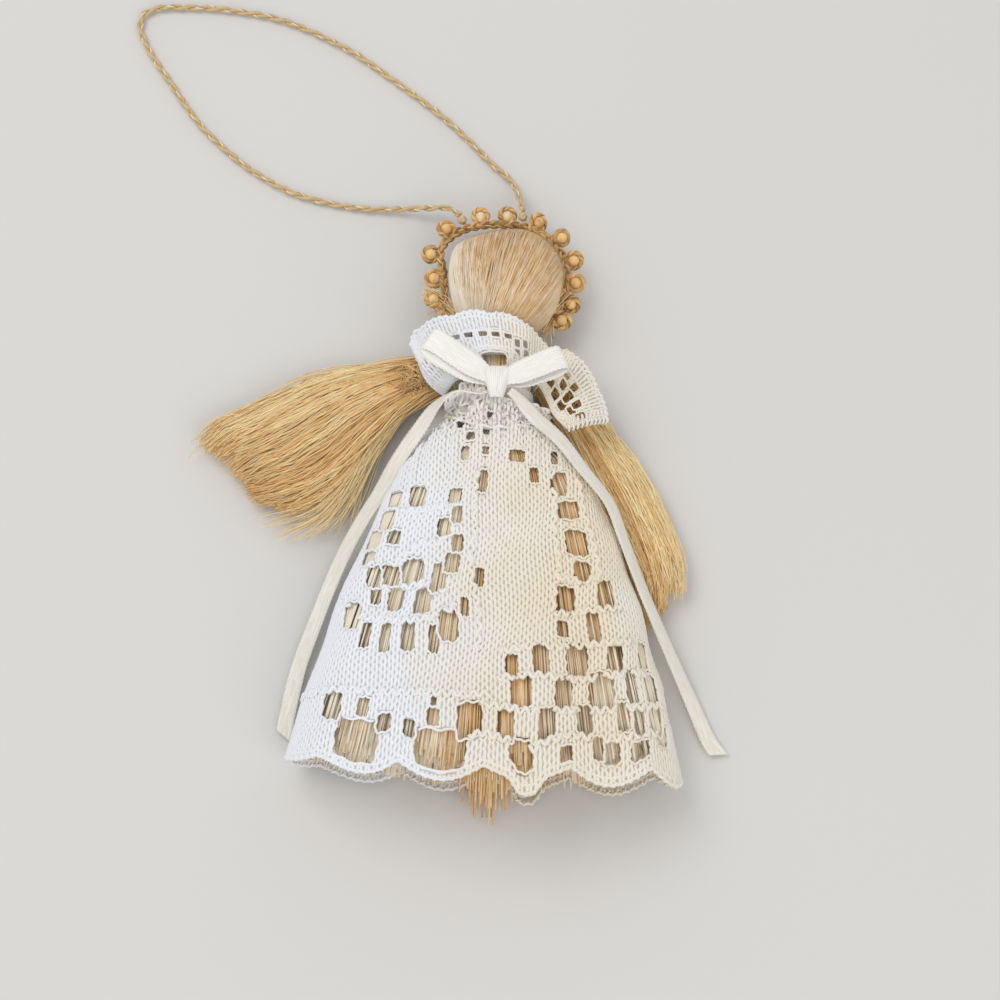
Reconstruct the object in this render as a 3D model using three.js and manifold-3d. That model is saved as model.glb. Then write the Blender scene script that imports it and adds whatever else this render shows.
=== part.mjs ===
// Straw angel doll lying on its back. +Y runs from the hem to the head, +Z points out of the table.
// Until the last lines the origin is the middle of the waist, on the table.
import * as THREE from 'three';
import ManifoldModule from 'manifold-3d';

const wasm = await ManifoldModule();
wasm.setup();

// Sizes in millimetres
const CLEARANCE = 0.3;
const BODY_HEIGHT = 8.6;
const LACE_THICKNESS = 0.7;

const WAIST_HALF_WIDTH = 8.3;
const WAIST_HALF_DEPTH = 7;
const HEADING_LENGTH = 3;
const HEADING_FLARE = 1;
const SKIRT_LENGTH = 61;
const HEM_HALF_WIDTH = 34.4;
const HEM_FRONT_HEIGHT = 21.5;
const HEM_SIDE_HEIGHT = 5;
const HEM_DIP = 5.5;
const SCALLOP_DEPTH = 2;
const FOLD_DEPTH = 1.6;
const GATHER_THREAD = 0.9;

const NECK_HALF_WIDTH = 5.8;
const NECK_HALF_DEPTH = 5.6;
const NECK_LENGTH = 18.4;
const NECK_BINDING_Y = 14;
const NECK_BINDING_LENGTH = 4;
const NECK_BINDING_THICKNESS = 0.8;

const HEAD_HALF_WIDTH = 9.9;
const HEAD_DEPTH_RATIO = 0.78;
const HEAD_LENGTH = 21.1;
const HEAD_HEIGHT = 8.2;
const HEAD_CORE_RADIUS = 6;
const HEAD_CORE_UP_HEAD = 0.6;

const HALO_HEIGHT = 6;
const BRAID_DIAMETER = 1.5;
const CURL_DIAMETER = 0.8;
const CURL_RADIUS = 1.45;
const HANG_CORD_DIAMETER = 1.3;
const HANG_KNOT_DIAMETER = 1.8;

const RIBBON_WIDTH = 3;
const RIBBON_THICKNESS = 0.4;
const BOW_HEIGHT = BODY_HEIGHT + NECK_HALF_DEPTH + 2.8;
const BOW_LOOP_THICKNESS = 2.4;
const BOW_LOOP_LEFT = 12;
const BOW_LOOP_RIGHT = 9.5;
const BOW_TILT_DEG = 27;
const KNOT_HALF_WIDTH = 2.3;
const KNOT_HALF_LENGTH = 3.1;
const KNOT_HALF_DEPTH = 1.5;

const LEFT_WING_LENGTH = 46.5;
const LEFT_WING_DROOP_DEG = 27;
const LEFT_WING_SPREAD = 10.6;
const LEFT_WING_SLANT = 0.11;
const RIGHT_WING_LENGTH = 50;
const RIGHT_WING_DROOP_DEG = 57;
const RIGHT_WING_SPREAD = 5;
const RIGHT_WING_SLANT = -0.055;
const WING_ROOT_HALF_WIDTH = 2.5;
const WING_ROOT_HALF_DEPTH = 2;
const WING_HEIGHT = 3.1;
const WING_ROOT_LENGTH = 6.5;
const WING_BEND = 3;
const WING_TIE_THICKNESS = 0.5;
const STRAND_DIAMETER = 0.26;
const STRANDS_ACROSS = 19;
const STRANDS_DEEP = 8;

const KNOT = new THREE.Vector3(-0.2, 5.3, BOW_HEIGHT + 0.9);
const WING_PIVOT_X = NECK_HALF_WIDTH + 0.55 * WING_ROOT_HALF_WIDTH;
const mix = THREE.MathUtils.lerp;
const degrees = THREE.MathUtils.degToRad;
const vector = (x, y, z) => new THREE.Vector3(x, y, z);

// A closed solid from points and triangles, turned so that its faces point out
function solid(points, faces) {
  let volume = 0;
  for (const [a, b, c] of faces) {
    volume += points[a].dot(vector(0, 0, 0).crossVectors(points[b], points[c]));
  }
  const index = faces.flatMap(([a, b, c]) => (volume > 0 ? [a, b, c] : [a, c, b]));
  const geometry = new THREE.BufferGeometry().setFromPoints(points);
  geometry.setIndex(index);
  geometry.computeVertexNormals();
  return geometry;
}

// A solid whose skin runs over a row of rings of equal point count, closed at both ends
function loft(rings) {
  const count = rings[0].length;
  const points = rings.flat();
  const faces = [];
  for (let r = 0; r + 1 < rings.length; r++) {
    for (let i = 0; i < count; i++) {
      const a = r * count + i;
      const b = r * count + ((i + 1) % count);
      faces.push([a, b, b + count], [a, b + count, a + count]);
    }
  }
  const cap = (ring, first, turned) => {
    const middle = ring.reduce((sum, p) => sum.add(p), vector(0, 0, 0)).divideScalar(count);
    points.push(middle);
    for (let i = 0; i < count; i++) {
      const a = first + i;
      const b = first + ((i + 1) % count);
      faces.push(turned ? [b, a, points.length - 1] : [a, b, points.length - 1]);
    }
  };
  cap(rings[0], 0, true);
  cap(rings[rings.length - 1], (rings.length - 1) * count, false);
  return solid(points, faces);
}

// A sheet with thickness from rows of points on its face and back; open(row, column) leaves a hole
function sheet(face, back, wraps, open = () => false) {
  const count = face[0].length;
  const rows = face.length - 1;
  const columns = wraps ? count : count - 1;
  const points = [...face.flat(), ...back.flat()];
  const behind = face.length * count;
  const at = (r, i) => r * count + (i % count);
  const filled = (r, i) => {
    if (r < 0 || r >= rows || (!wraps && (i < 0 || i >= columns))) {
      return false;
    }
    return !open(r, (i + columns) % columns);
  };
  const faces = [];
  const quad = (a, b, c, d) => faces.push([a, b, c], [a, c, d]);
  for (let r = 0; r < rows; r++) {
    for (let i = 0; i < columns; i++) {
      if (!filled(r, i)) {
        continue;
      }
      const [a, b, c, d] = [at(r, i), at(r, i + 1), at(r + 1, i + 1), at(r + 1, i)];
      quad(a, b, c, d);
      quad(a + behind, d + behind, c + behind, b + behind);
      const sides = [[a, b, r - 1, i], [b, c, r, i + 1], [c, d, r + 1, i], [d, a, r, i - 1]];
      for (const [p, q, row, column] of sides) {
        if (!filled(row, column)) {
          quad(q, p, p + behind, q + behind);
        }
      }
    }
  }
  return solid(points, faces);
}

// A round cord along a smooth route
function cord(route, diameter, sides, steps) {
  const outline = new THREE.Shape(Array.from({ length: sides }, (_, i) => {
    const turn = (2 * Math.PI * i) / sides;
    return new THREE.Vector2(Math.cos(turn), Math.sin(turn)).multiplyScalar(diameter / 2);
  }));
  const extrudePath = new THREE.CatmullRomCurve3(route, false, 'centripetal');
  return new THREE.ExtrudeGeometry(outline, { steps, extrudePath, curveSegments: 1, bevelEnabled: false });
}

// A flat ribbon that lies along a route with its width level
function ribbon(route, steps) {
  const path = new THREE.CatmullRomCurve3(route, false, 'centripetal');
  const rings = [];
  for (let i = 0; i <= steps; i++) {
    const middle = path.getPointAt(i / steps);
    const along = path.getTangentAt(i / steps);
    const across = vector(along.y, -along.x, 0).normalize().multiplyScalar(RIBBON_WIDTH / 2);
    const up = vector(0, 0, 0).crossVectors(across, along).normalize().multiplyScalar(RIBBON_THICKNESS / 2);
    const corner = (side, face) => middle.clone().addScaledVector(across, side).addScaledVector(up, face);
    rings.push([corner(-1, -1), corner(1, -1), corner(1, 1), corner(-1, 1)]);
  }
  return loft(rings);
}

// A level ring of points around the body's axis
function ellipse(y, halfWidth, halfDepth, count, height = BODY_HEIGHT) {
  return Array.from({ length: count }, (_, i) => {
    const turn = (2 * Math.PI * i) / count;
    return vector(halfWidth * Math.cos(turn), y, height + halfDepth * Math.sin(turn));
  });
}

// A band round the body's axis with a rounded outside
function band(y, length, halfWidth, halfDepth, thickness, bulge) {
  const rows = [-0.5, -0.3, 0.3, 0.5];
  const outside = rows.map((row, i) => {
    const rise = thickness + (i === 1 || i === 2 ? bulge : 0);
    return ellipse(y + row * length, halfWidth + rise, halfDepth + rise, 24);
  });
  const inside = rows.map((row) => ellipse(y + row * length, halfWidth, halfDepth, 24));
  return sheet(outside, inside, true);
}

const skirtHalfWidth = (down) => mix(WAIST_HALF_WIDTH, HEM_HALF_WIDTH, Math.max(0, down) ** 0.6);

// A point of the skirt, set in from its outside: turn goes round from the right side over the front
function skirtPoint(turn, down, inset, narrow = 1) {
  const rise = Math.sin(turn);
  const front = mix(BODY_HEIGHT + WAIST_HALF_DEPTH, HEM_FRONT_HEIGHT, down) - inset;
  const back = mix(BODY_HEIGHT - WAIST_HALF_DEPTH, 0, Math.min(1, 4 * down)) + inset;
  const side = mix(BODY_HEIGHT, HEM_SIDE_HEIGHT, down);
  const fold = FOLD_DEPTH * down * Math.max(0, rise) * (0.5 - 0.5 * Math.cos(10 * turn));
  const over = side + (front - side) * Math.max(0, rise) ** 0.8 - fold;
  const under = side - (side - back) * Math.min(1, 1.6 * Math.max(0, -rise) ** 0.6);
  const scallop = SCALLOP_DEPTH * Math.abs(Math.sin(5 * turn)) * Math.max(0, (down - 0.8) / 0.2);
  const y = -down * (SKIRT_LENGTH + HEM_DIP * Math.abs(rise)) - scallop;
  return vector((skirtHalfWidth(down) - inset) * narrow * Math.cos(turn), y, rise > 0 ? over : under);
}

const doll = new THREE.Group();

function add(name, geometry, color, roughness = 0.85) {
  const mesh = new THREE.Mesh(geometry, new THREE.MeshStandardMaterial({ color, roughness, metalness: 0 }));
  mesh.name = name;
  doll.add(mesh);
  return mesh;
}

const STRAW = '#c79c58';
const BLOND = '#d9bb83';
const LACE = '#efe9dc';
const SATIN = '#f1e6c8';
const COTTON = '#f3f0e6';

// Fibre body: a bound neck that fans out under the skirt
const BODY_POINTS = 40;
const bodyRings = [
  ellipse(NECK_LENGTH, NECK_HALF_WIDTH - 0.8, NECK_HALF_DEPTH - 0.8, BODY_POINTS),
  ellipse(NECK_BINDING_Y, NECK_HALF_WIDTH - 0.4, NECK_HALF_DEPTH - 0.4, BODY_POINTS),
  ellipse(HEADING_LENGTH + 6, NECK_HALF_WIDTH, NECK_HALF_DEPTH, BODY_POINTS),
  ellipse(0.5, NECK_HALF_WIDTH, NECK_HALF_DEPTH, BODY_POINTS),
];
for (const down of [0.1, 0.3, 0.55, 0.8, 0.97]) {
  bodyRings.push(Array.from({ length: BODY_POINTS }, (_, i) => {
    const flute = i % 2 ? 0.5 : 0;
    return skirtPoint((2 * Math.PI * i) / BODY_POINTS, down, LACE_THICKNESS + 0.9 + flute, 0.86);
  }));
}
add('body_fibre', loft(bodyRings), STRAW);
add('neck_binding', band(NECK_BINDING_Y, NECK_BINDING_LENGTH, NECK_HALF_WIDTH - 0.2, NECK_HALF_DEPTH - 0.2,
  NECK_BINDING_THICKNESS, 0), COTTON);

// Head: fibre folded over a pressed-cotton ball, open where the neck closes it
const HEAD_POINTS = 32;
const headBase = NECK_LENGTH + CLEARANCE;
const coreY = headBase + HEAD_LENGTH * HEAD_CORE_UP_HEAD;
const cavity = (HEAD_CORE_RADIUS + CLEARANCE) * 1.04;
const headRings = [];
for (const polar of [10, 35, 60, 90, 120, 145, 165]) {
  const radius = cavity * Math.sin(degrees(polar));
  headRings.push(ellipse(coreY + cavity * Math.cos(degrees(polar)), radius, radius, HEAD_POINTS, HEAD_HEIGHT));
}
headRings.push(ellipse(headBase, 1, 1, HEAD_POINTS, HEAD_HEIGHT));
const headOutline = [[0, 0.56], [0.09, 0.61], [0.21, 0.75], [0.37, 0.91], [0.53, 1], [0.7, 1], [0.84, 0.86],
  [0.94, 0.58], [0.99, 0.25]];
for (const [up, wide] of headOutline) {
  const halfWidth = HEAD_HALF_WIDTH * wide;
  const halfDepth = halfWidth * HEAD_DEPTH_RATIO;
  headRings.push(ellipse(headBase + HEAD_LENGTH * up, halfWidth, halfDepth, HEAD_POINTS, HEAD_HEIGHT));
}
add('head_fibre', loft(headRings), BLOND, 0.6);
const headCore = new THREE.SphereGeometry(HEAD_CORE_RADIUS, 16, 10);
add('head_core', headCore, COTTON).position.set(0, coreY, HEAD_HEIGHT);

// Halo: a braid set close round the head, with curled loops on its outer edge
const braidStand = HEAD_HALF_WIDTH + CLEARANCE + BRAID_DIAMETER / 2;
const headMiddle = headBase + HEAD_LENGTH * 0.6;
const braidBends = [[213, 1.22], [199, 1.06], [180, 1.03], [158, 1.18], [140, 1.14], [119, 1.03], [93, 0.95],
  [66, 0.98], [34, 1.06], [8, 1.07], [341, 1.1], [317, 1.16]];
const braidRoute = braidBends.map(([angle, out]) => {
  const stand = braidStand * out;
  return vector(stand * Math.cos(degrees(angle)), headMiddle + stand * Math.sin(degrees(angle)), HALO_HEIGHT);
});
const braidCurve = new THREE.CatmullRomCurve3(braidRoute, false, 'centripetal');
add('halo_braid', cord(braidRoute, BRAID_DIAMETER, 6, 36), STRAW);

// A point beside the braid, a distance out from its middle line
function besideBraid(share, out) {
  const along = braidCurve.getTangentAt(share);
  return braidCurve.getPointAt(share).add(vector(-along.y, along.x, 0).normalize().multiplyScalar(out));
}

const curlStand = BRAID_DIAMETER / 2 + CLEARANCE + 0.8 * CURL_RADIUS + CURL_DIAMETER / 2;
const curlPlaces = [0.03, 0.12, 0.21, 0.295, 0.41, 0.5, 0.6, 0.69, 0.77, 0.845, 0.92, 0.985];
curlPlaces.forEach((share, i) => {
  const middle = besideBraid(share, curlStand);
  const inward = besideBraid(share, 0).sub(middle);
  const start = Math.atan2(inward.y, inward.x) + 0.35;
  const route = Array.from({ length: 10 }, (_, k) => {
    const radius = CURL_RADIUS * (1 - (k / 9) ** 2.4);
    const turn = start + (k / 9) * 6.6;
    return vector(middle.x + radius * Math.cos(turn), middle.y + radius * Math.sin(turn), HALO_HEIGHT);
  });
  const name = `halo_curl_${String(i + 1).padStart(2, '0')}`;
  add(name, cord(route, CURL_DIAMETER, 5, 12), STRAW);
});

// Hanging loop: a limp cord tied to the braid at two knots, laid out on the table
const knotStand = BRAID_DIAMETER / 2 + CLEARANCE + HANG_KNOT_DIAMETER / 2;
const hangKnots = { left: besideBraid(0.352, knotStand), right: besideBraid(0.55, knotStand) };
for (const [side, place] of Object.entries(hangKnots)) {
  const knot = new THREE.SphereGeometry(HANG_KNOT_DIAMETER / 2, 10, 8);
  add(`hang_knot_${side}`, knot, STRAW).position.copy(place);
}
const cordStart = HANG_KNOT_DIAMETER / 2 + CLEARANCE;
const cordRest = HANG_CORD_DIAMETER / 2 + 0.1;
const laidRoute = [[-28, 46.5], [-37.2, 48], [-42.3, 49.7], [-47.5, 52.5], [-51.7, 55.3], [-56.7, 59.6],
  [-59.9, 62.8], [-63.3, 67.1], [-66.8, 72.2], [-69.7, 76.2], [-72.2, 80.4], [-73.6, 84], [-72.8, 86.9], [-70, 88.3],
  [-65.4, 88.6], [-58.3, 88.5], [-53.7, 88], [-48.4, 87.2], [-42.7, 85.4], [-36.8, 82.8], [-30.9, 79.6],
  [-24.6, 75.2], [-18.7, 70.9], [-13.5, 66.8], [-8.2, 62], [-3.3, 56.9]];
const hangRoute = [
  hangKnots.left.clone().add(vector(-0.4 * cordStart, 0.9 * cordStart, -0.3)),
  hangKnots.left.clone().add(vector(-2.6, 2.9, -1.2)),
  hangKnots.left.clone().add(vector(-6.4, 3.6, -2.9)),
  hangKnots.left.clone().add(vector(-12.4, 3.9, -4.6)),
  ...laidRoute.map(([x, y]) => vector(x, y, cordRest)),
  hangKnots.right.clone().add(vector(-2.4, 9.4, -4.7)),
  hangKnots.right.clone().add(vector(-0.8, 5, -2.9)),
  hangKnots.right.clone().add(vector(0, cordStart, -0.3)),
];
add('hang_cord', cord(hangRoute, HANG_CORD_DIAMETER, 8, 64), STRAW);

// Wings: combed fibre, bound at the root and fanned out
function wing(name, side, droop, length, spread, slant) {
  const along = vector(side * Math.cos(degrees(droop)), -Math.sin(degrees(droop)), 0);
  const across = vector(side * Math.sin(degrees(droop)), Math.cos(degrees(droop)), 0);
  const pivot = vector(side * WING_PIVOT_X, NECK_BINDING_Y, WING_HEIGHT);
  const fanned = (s) => Math.min(1, Math.max(0, s) / (0.76 * length)) ** 1.3;
  const halfWidth = (s) => mix(WING_ROOT_HALF_WIDTH, spread, fanned(s));
  const halfDepth = (s) => WING_ROOT_HALF_DEPTH + 0.6 * Math.sin((Math.PI * Math.max(0, s)) / length);
  const place = (s, wide, deep) => pivot.clone()
    .addScaledVector(along, s)
    .addScaledVector(across, wide - WING_BEND * (s / length) ** 2)
    .add(vector(0, 0, deep));
  const section = (s, grow, count) => Array.from({ length: count }, (_, i) => {
    const turn = (2 * Math.PI * i) / count;
    return place(s, halfWidth(s) * grow * Math.cos(turn), halfDepth(s) * grow * Math.sin(turn));
  });
  const root = [[-2.3, 0.4], [-1.6, 0.75], [0, 1], [2, 1], [4.5, 1], [WING_ROOT_LENGTH, 1]];
  const pieces = [loft(root.map(([s, grow]) => section(s, grow, 14)))];
  for (let i = 0; i < STRANDS_ACROSS; i++) {
    for (let j = 0; j < STRANDS_DEEP; j++) {
      const wide = ((2 * i + 1) / STRANDS_ACROSS - 1) * 0.9;
      const deep = ((2 * j + 1) / STRANDS_DEEP - 1) * 0.9 * Math.sqrt(1 - wide * wide);
      const end = length * (1 + slant * wide) * (0.9 + 0.1 * (((i * 7 + j * 5) % 11) / 10));
      const ring = (s, diameter) => [90, 210, 330].map((turn) => place(s,
        halfWidth(s) * wide + (diameter / 2) * Math.cos(degrees(turn)),
        halfDepth(s) * deep + (diameter / 2) * Math.sin(degrees(turn))));
      const begin = WING_ROOT_LENGTH - 1;
      const [a, b] = [ring(begin, STRAND_DIAMETER), ring(mix(begin, end, 0.55), STRAND_DIAMETER)];
      const tip = place(end, halfWidth(end) * wide, halfDepth(end) * deep);
      pieces.push(solid([...a, ...b, tip], [[2, 1, 0], [0, 1, 4], [0, 4, 3], [1, 2, 5], [1, 5, 4], [2, 0, 3],
        [2, 3, 5], [3, 4, 6], [4, 5, 6], [5, 3, 6]]));
    }
  }
  add(name, joined(pieces), STRAW);
  const tieRows = [[1.4, 0], [1.8, WING_TIE_THICKNESS], [3.4, WING_TIE_THICKNESS], [3.8, 0]];
  const tieSection = (s, out) => Array.from({ length: 24 }, (_, i) => {
    const turn = (2 * Math.PI * i) / 24;
    return place(s, (halfWidth(s) + out) * Math.cos(turn), (halfDepth(s) + out) * Math.sin(turn));
  });
  add(name.replace('wing', 'wing_tie'), sheet(tieRows.map(([s, out]) => tieSection(s, CLEARANCE + 0.15 + out)),
    tieRows.map(([s]) => tieSection(s, CLEARANCE)), true), COTTON);
}

// Closed geometries that overlap, joined into one solid
function joined(geometries) {
  const parts = geometries.map((geometry) => new wasm.Manifold(new wasm.Mesh({
    numProp: 3,
    vertProperties: Float32Array.from(geometry.attributes.position.array),
    triVerts: Uint32Array.from(geometry.index.array),
  })));
  const whole = wasm.Manifold.union(parts).getMesh();
  const geometry = new THREE.BufferGeometry();
  geometry.setAttribute('position', new THREE.BufferAttribute(whole.vertProperties, 3));
  geometry.setIndex(new THREE.BufferAttribute(whole.triVerts, 1));
  geometry.computeVertexNormals();
  return geometry;
}

wing('wing_left', -1, LEFT_WING_DROOP_DEG, LEFT_WING_LENGTH, LEFT_WING_SPREAD, LEFT_WING_SLANT);
wing('wing_right', 1, RIGHT_WING_DROOP_DEG, RIGHT_WING_LENGTH, RIGHT_WING_SPREAD, RIGHT_WING_SLANT);

// Lace dress: a heading above the gathers, a flared skirt with folds in front and scallops at the hem
const DRESS_COLUMNS = 40;
const dressDowns = [0.04, 0.1, 0.18, 0.28, 0.38, 0.48, 0.58, 0.68, 0.78, 0.88, 1];
const waistRing = (y, out) => ellipse(y, WAIST_HALF_WIDTH + out, WAIST_HALF_DEPTH + out, DRESS_COLUMNS);
const dressRows = (inset) => [
  waistRing(HEADING_LENGTH, HEADING_FLARE - inset),
  waistRing(HEADING_LENGTH / 2, -inset),
  waistRing(0, -inset),
  ...dressDowns.map((down) => Array.from({ length: DRESS_COLUMNS }, (_, i) =>
    skirtPoint((2 * Math.PI * i) / DRESS_COLUMNS, down, inset))),
];
// Openwork all round but for the close panels at the middle of the front and back
function openwork(row, column) {
  const fromPanel = Math.abs((column % 20) - 10);
  return row > 5 && fromPanel > 2 && fromPanel < 10 && column % 4 === 2 * (row % 2);
}
add('lace_dress', sheet(dressRows(0), dressRows(LACE_THICKNESS), true, openwork), LACE, 0.95);
add('gather_thread', band(HEADING_LENGTH / 4, GATHER_THREAD, WAIST_HALF_WIDTH + CLEARANCE,
  WAIST_HALF_DEPTH + CLEARANCE, GATHER_THREAD / 2, GATHER_THREAD / 4), COTTON);

// Lace collar: one strip from the left shoulder over the front of the neck, its free end down the right front
const aboveAxis = ([x, y, rise]) => vector(x, y, BODY_HEIGHT + rise);
const collarInner = [[-9.5, 4.8, -1], [-9.2, 5.8, 1.9], [-7.6, 7.2, 4.6], [-4.4, 8.2, 6.2], [-0.2, 8.6, 6.7],
  [4.2, 8.4, 6.2], [7.2, 7, 4.6], [9, 4.2, 3.8], [10.2, 1.6, 4], [12.8, -1.2, 4.2]];
const collarOuter = [[-16.6, 12.4, -1.2], [-17, 15.2, 1], [-14.6, 17.8, 3.8], [-8.6, 19.6, 6.2], [-2.2, 20.2, 7.2],
  [4.4, 18.6, 6.6], [10.4, 15.8, 4.2], [15, 11.2, 2], [18.2, 6, 1.4], [19.4, 1.4, 1.6]];
const innerEdge = new THREE.CatmullRomCurve3(collarInner.map(aboveAxis));
const outerEdge = new THREE.CatmullRomCurve3(collarOuter.map(aboveAxis));
const COLLAR_ROWS = [0, 0.25, 0.5, 0.75, 1];
const collarRows = (thickness) => COLLAR_ROWS.map((across) => Array.from({ length: 37 }, (_, i) => {
  const inner = innerEdge.getPoint(i / 36);
  const outer = outerEdge.getPoint(i / 36);
  const width = outer.clone().sub(inner);
  const length = innerEdge.getTangent(i / 36).add(outerEdge.getTangent(i / 36));
  const up = vector(0, 0, 0).crossVectors(length, width).normalize();
  const scallop = across === 1 ? 0.06 * Math.abs(Math.sin((Math.PI * i) / 4)) : 0;
  return inner.addScaledVector(width, across + scallop)
    .addScaledVector(up, 0.9 * Math.sin(Math.PI * across) + thickness);
}));
add('lace_collar', sheet(collarRows(LACE_THICKNESS / 2), collarRows(-LACE_THICKNESS / 2), false), LACE, 0.95);

// Ribbon: a band round the neck under the collar, tied in front
add('ribbon_band', band(KNOT.y - 0.4, RIBBON_WIDTH, NECK_HALF_WIDTH + CLEARANCE, NECK_HALF_DEPTH + CLEARANCE,
  RIBBON_THICKNESS, 0), SATIN, 0.45);
const bowKnot = new THREE.SphereGeometry(1, 16, 10).scale(KNOT_HALF_WIDTH, KNOT_HALF_LENGTH, KNOT_HALF_DEPTH);
add('bow_knot', bowKnot, SATIN, 0.45).position.copy(KNOT);

// The edge of a bow loop seen from its side: pinched at the knot, round at the end
function loopOutline(path, from, to, half) {
  const reach = (to - from) / 3;
  path.moveTo(from, 0);
  path.bezierCurveTo(from + reach, -1.6 * half, to, -1.5 * half, to, 0);
  path.bezierCurveTo(to, 1.5 * half, from + reach, 1.6 * half, from, 0);
  return path;
}

function bowLoop(name, side, length) {
  const half = BOW_LOOP_THICKNESS / 2;
  const outline = loopOutline(new THREE.Shape(), 0, length, half);
  outline.holes.push(loopOutline(new THREE.Path(), 2, length - RIBBON_THICKNESS, half - 0.8 * RIBBON_THICKNESS));
  const edgeToEdge = { depth: RIBBON_WIDTH, curveSegments: 10, bevelEnabled: false };
  const geometry = new THREE.ExtrudeGeometry(outline, edgeToEdge);
  const along = vector(side * Math.cos(degrees(BOW_TILT_DEG)), Math.sin(degrees(BOW_TILT_DEG)), 0);
  const up = vector(0, 0, 1);
  const across = vector(0, 0, 0).crossVectors(along, up);
  const start = vector(KNOT.x, KNOT.y, BOW_HEIGHT + half).addScaledVector(along, KNOT_HALF_WIDTH + 0.8);
  geometry.translate(0, 0, -RIBBON_WIDTH / 2);
  geometry.applyMatrix4(new THREE.Matrix4().makeBasis(along, up, across).setPosition(start));
  add(name, geometry, SATIN, 0.45);
}
bowLoop('bow_loop_left', -1, BOW_LOOP_LEFT);
bowLoop('bow_loop_right', 1, BOW_LOOP_RIGHT);

// A point beside the skirt's edge at a share of its length, out from it and above the table
function besideSkirt(side, down, out, z) {
  return vector(side * (skirtHalfWidth(down) + out), -SKIRT_LENGTH * down, z);
}
const fromKnot = (x, y, z) => KNOT.clone().add(vector(x, y, z));
const leftFall = [[0.035, 2, 13], [0.12, 1.9, 10.2], [0.215, 2.2, 7.2], [0.3, 3.2, 5], [0.385, 3.8, 3.5], [0.5, 4, 2.5],
  [0.615, 4, 1.9], [0.72, 4, 1.4], [0.825, 3.4, 1.1], [0.9, 2.8, 0.9], [0.945, 2.4, 0.8]];
const rightFall = [[0.148, -1, 14.2], [0.243, 1.2, 12.4], [0.344, 1.4, 10.4], [0.49, 2, 8.2], [0.646, 3.7, 4.6],
  [0.805, 5.8, 1.6], [0.9, 7, 0.9], [0.95, 8.4, 0.8]];
const tailLeft = [fromKnot(-2.8, -2, -0.2), fromKnot(-7.2, -1.7, -0.9), fromKnot(-10.6, -3.6, -2.7),
  ...leftFall.map((place) => besideSkirt(-1, ...place))];
const tailRight = [fromKnot(3.2, -2.1, -0.2), fromKnot(6.9, -5.9, -1), fromKnot(11.5, -9.5, -2.3),
  ...rightFall.map((place) => besideSkirt(1, ...place))];
add('ribbon_tail_left', ribbon(tailLeft, 40), SATIN, 0.45);
add('ribbon_tail_right', ribbon(tailRight, 40), SATIN, 0.45);

// The origin goes to the middle of the doll's outline on the table, without its loose ribbon ends and hanging cord
const loose = ['hang_cord', 'ribbon_tail_left', 'ribbon_tail_right'];
const outline = new THREE.Box3();
for (const mesh of doll.children.filter((piece) => !loose.includes(piece.name))) {
  outline.expandByObject(mesh, true);
}
const middle = outline.getCenter(vector(0, 0, 0));
for (const mesh of doll.children) {
  mesh.position.x -= middle.x;
  mesh.position.y -= middle.y;
  mesh.position.z -= outline.min.z;
}

export default doll;
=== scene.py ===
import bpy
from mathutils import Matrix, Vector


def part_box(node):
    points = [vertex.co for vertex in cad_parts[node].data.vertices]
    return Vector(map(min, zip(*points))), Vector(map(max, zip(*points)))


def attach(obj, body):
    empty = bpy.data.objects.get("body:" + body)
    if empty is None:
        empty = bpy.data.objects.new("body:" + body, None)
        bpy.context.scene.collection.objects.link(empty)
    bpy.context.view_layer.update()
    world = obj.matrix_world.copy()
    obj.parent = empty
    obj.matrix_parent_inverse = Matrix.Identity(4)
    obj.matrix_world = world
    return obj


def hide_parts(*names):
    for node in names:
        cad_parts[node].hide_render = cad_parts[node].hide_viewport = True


bl_info = {
    "name": "Straw Angel Doll",
    "version": (1, 0, 0),
    "blender": (4, 5, 0),
    "location": "3D View > Sidebar > Doll",
    "description": "Builds a straw angel doll in a lace dress around its packed frame",
    "category": "Object",
}

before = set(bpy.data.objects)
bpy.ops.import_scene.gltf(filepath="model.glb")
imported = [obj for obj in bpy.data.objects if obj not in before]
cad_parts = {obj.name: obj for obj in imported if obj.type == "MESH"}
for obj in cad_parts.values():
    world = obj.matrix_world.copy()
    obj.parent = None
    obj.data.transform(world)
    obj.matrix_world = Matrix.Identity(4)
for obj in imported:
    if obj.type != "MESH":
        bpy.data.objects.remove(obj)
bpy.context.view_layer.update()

import math

import bmesh
import bpy
import numpy as np
from bpy.props import FloatProperty, FloatVectorProperty, IntProperty, PointerProperty
from mathutils import Matrix, Vector

MM = 0.001
FULL_TURN = 2 * math.pi
UP = (0.0, 0.0, 1.0)

# The doll's own origin is the middle of its waist, on the table, and its own sizes are in millimetres
THREAD_ABOVE_WAIST = 0.75
THREAD_MIDDLE = np.array(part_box("gather_thread")).mean(axis=0)
WAIST = THREAD_MIDDLE * (1, 1, 0) - (0, THREAD_ABOVE_WAIST * MM, 0)
BODY_HEIGHT = THREAD_MIDDLE[2] / MM


def own_box(node):
    """A node's lowest and highest corner in the doll's own millimetres."""
    return [(np.array(corner) - WAIST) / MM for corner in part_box(node)]


def own_middle(node):
    return sum(own_box(node)) / 2


def to_frame(points):
    return np.asarray(points, float) * MM + WAIST


# Lines

NEAREST = 1e-4
TINY = 1e-9


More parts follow.
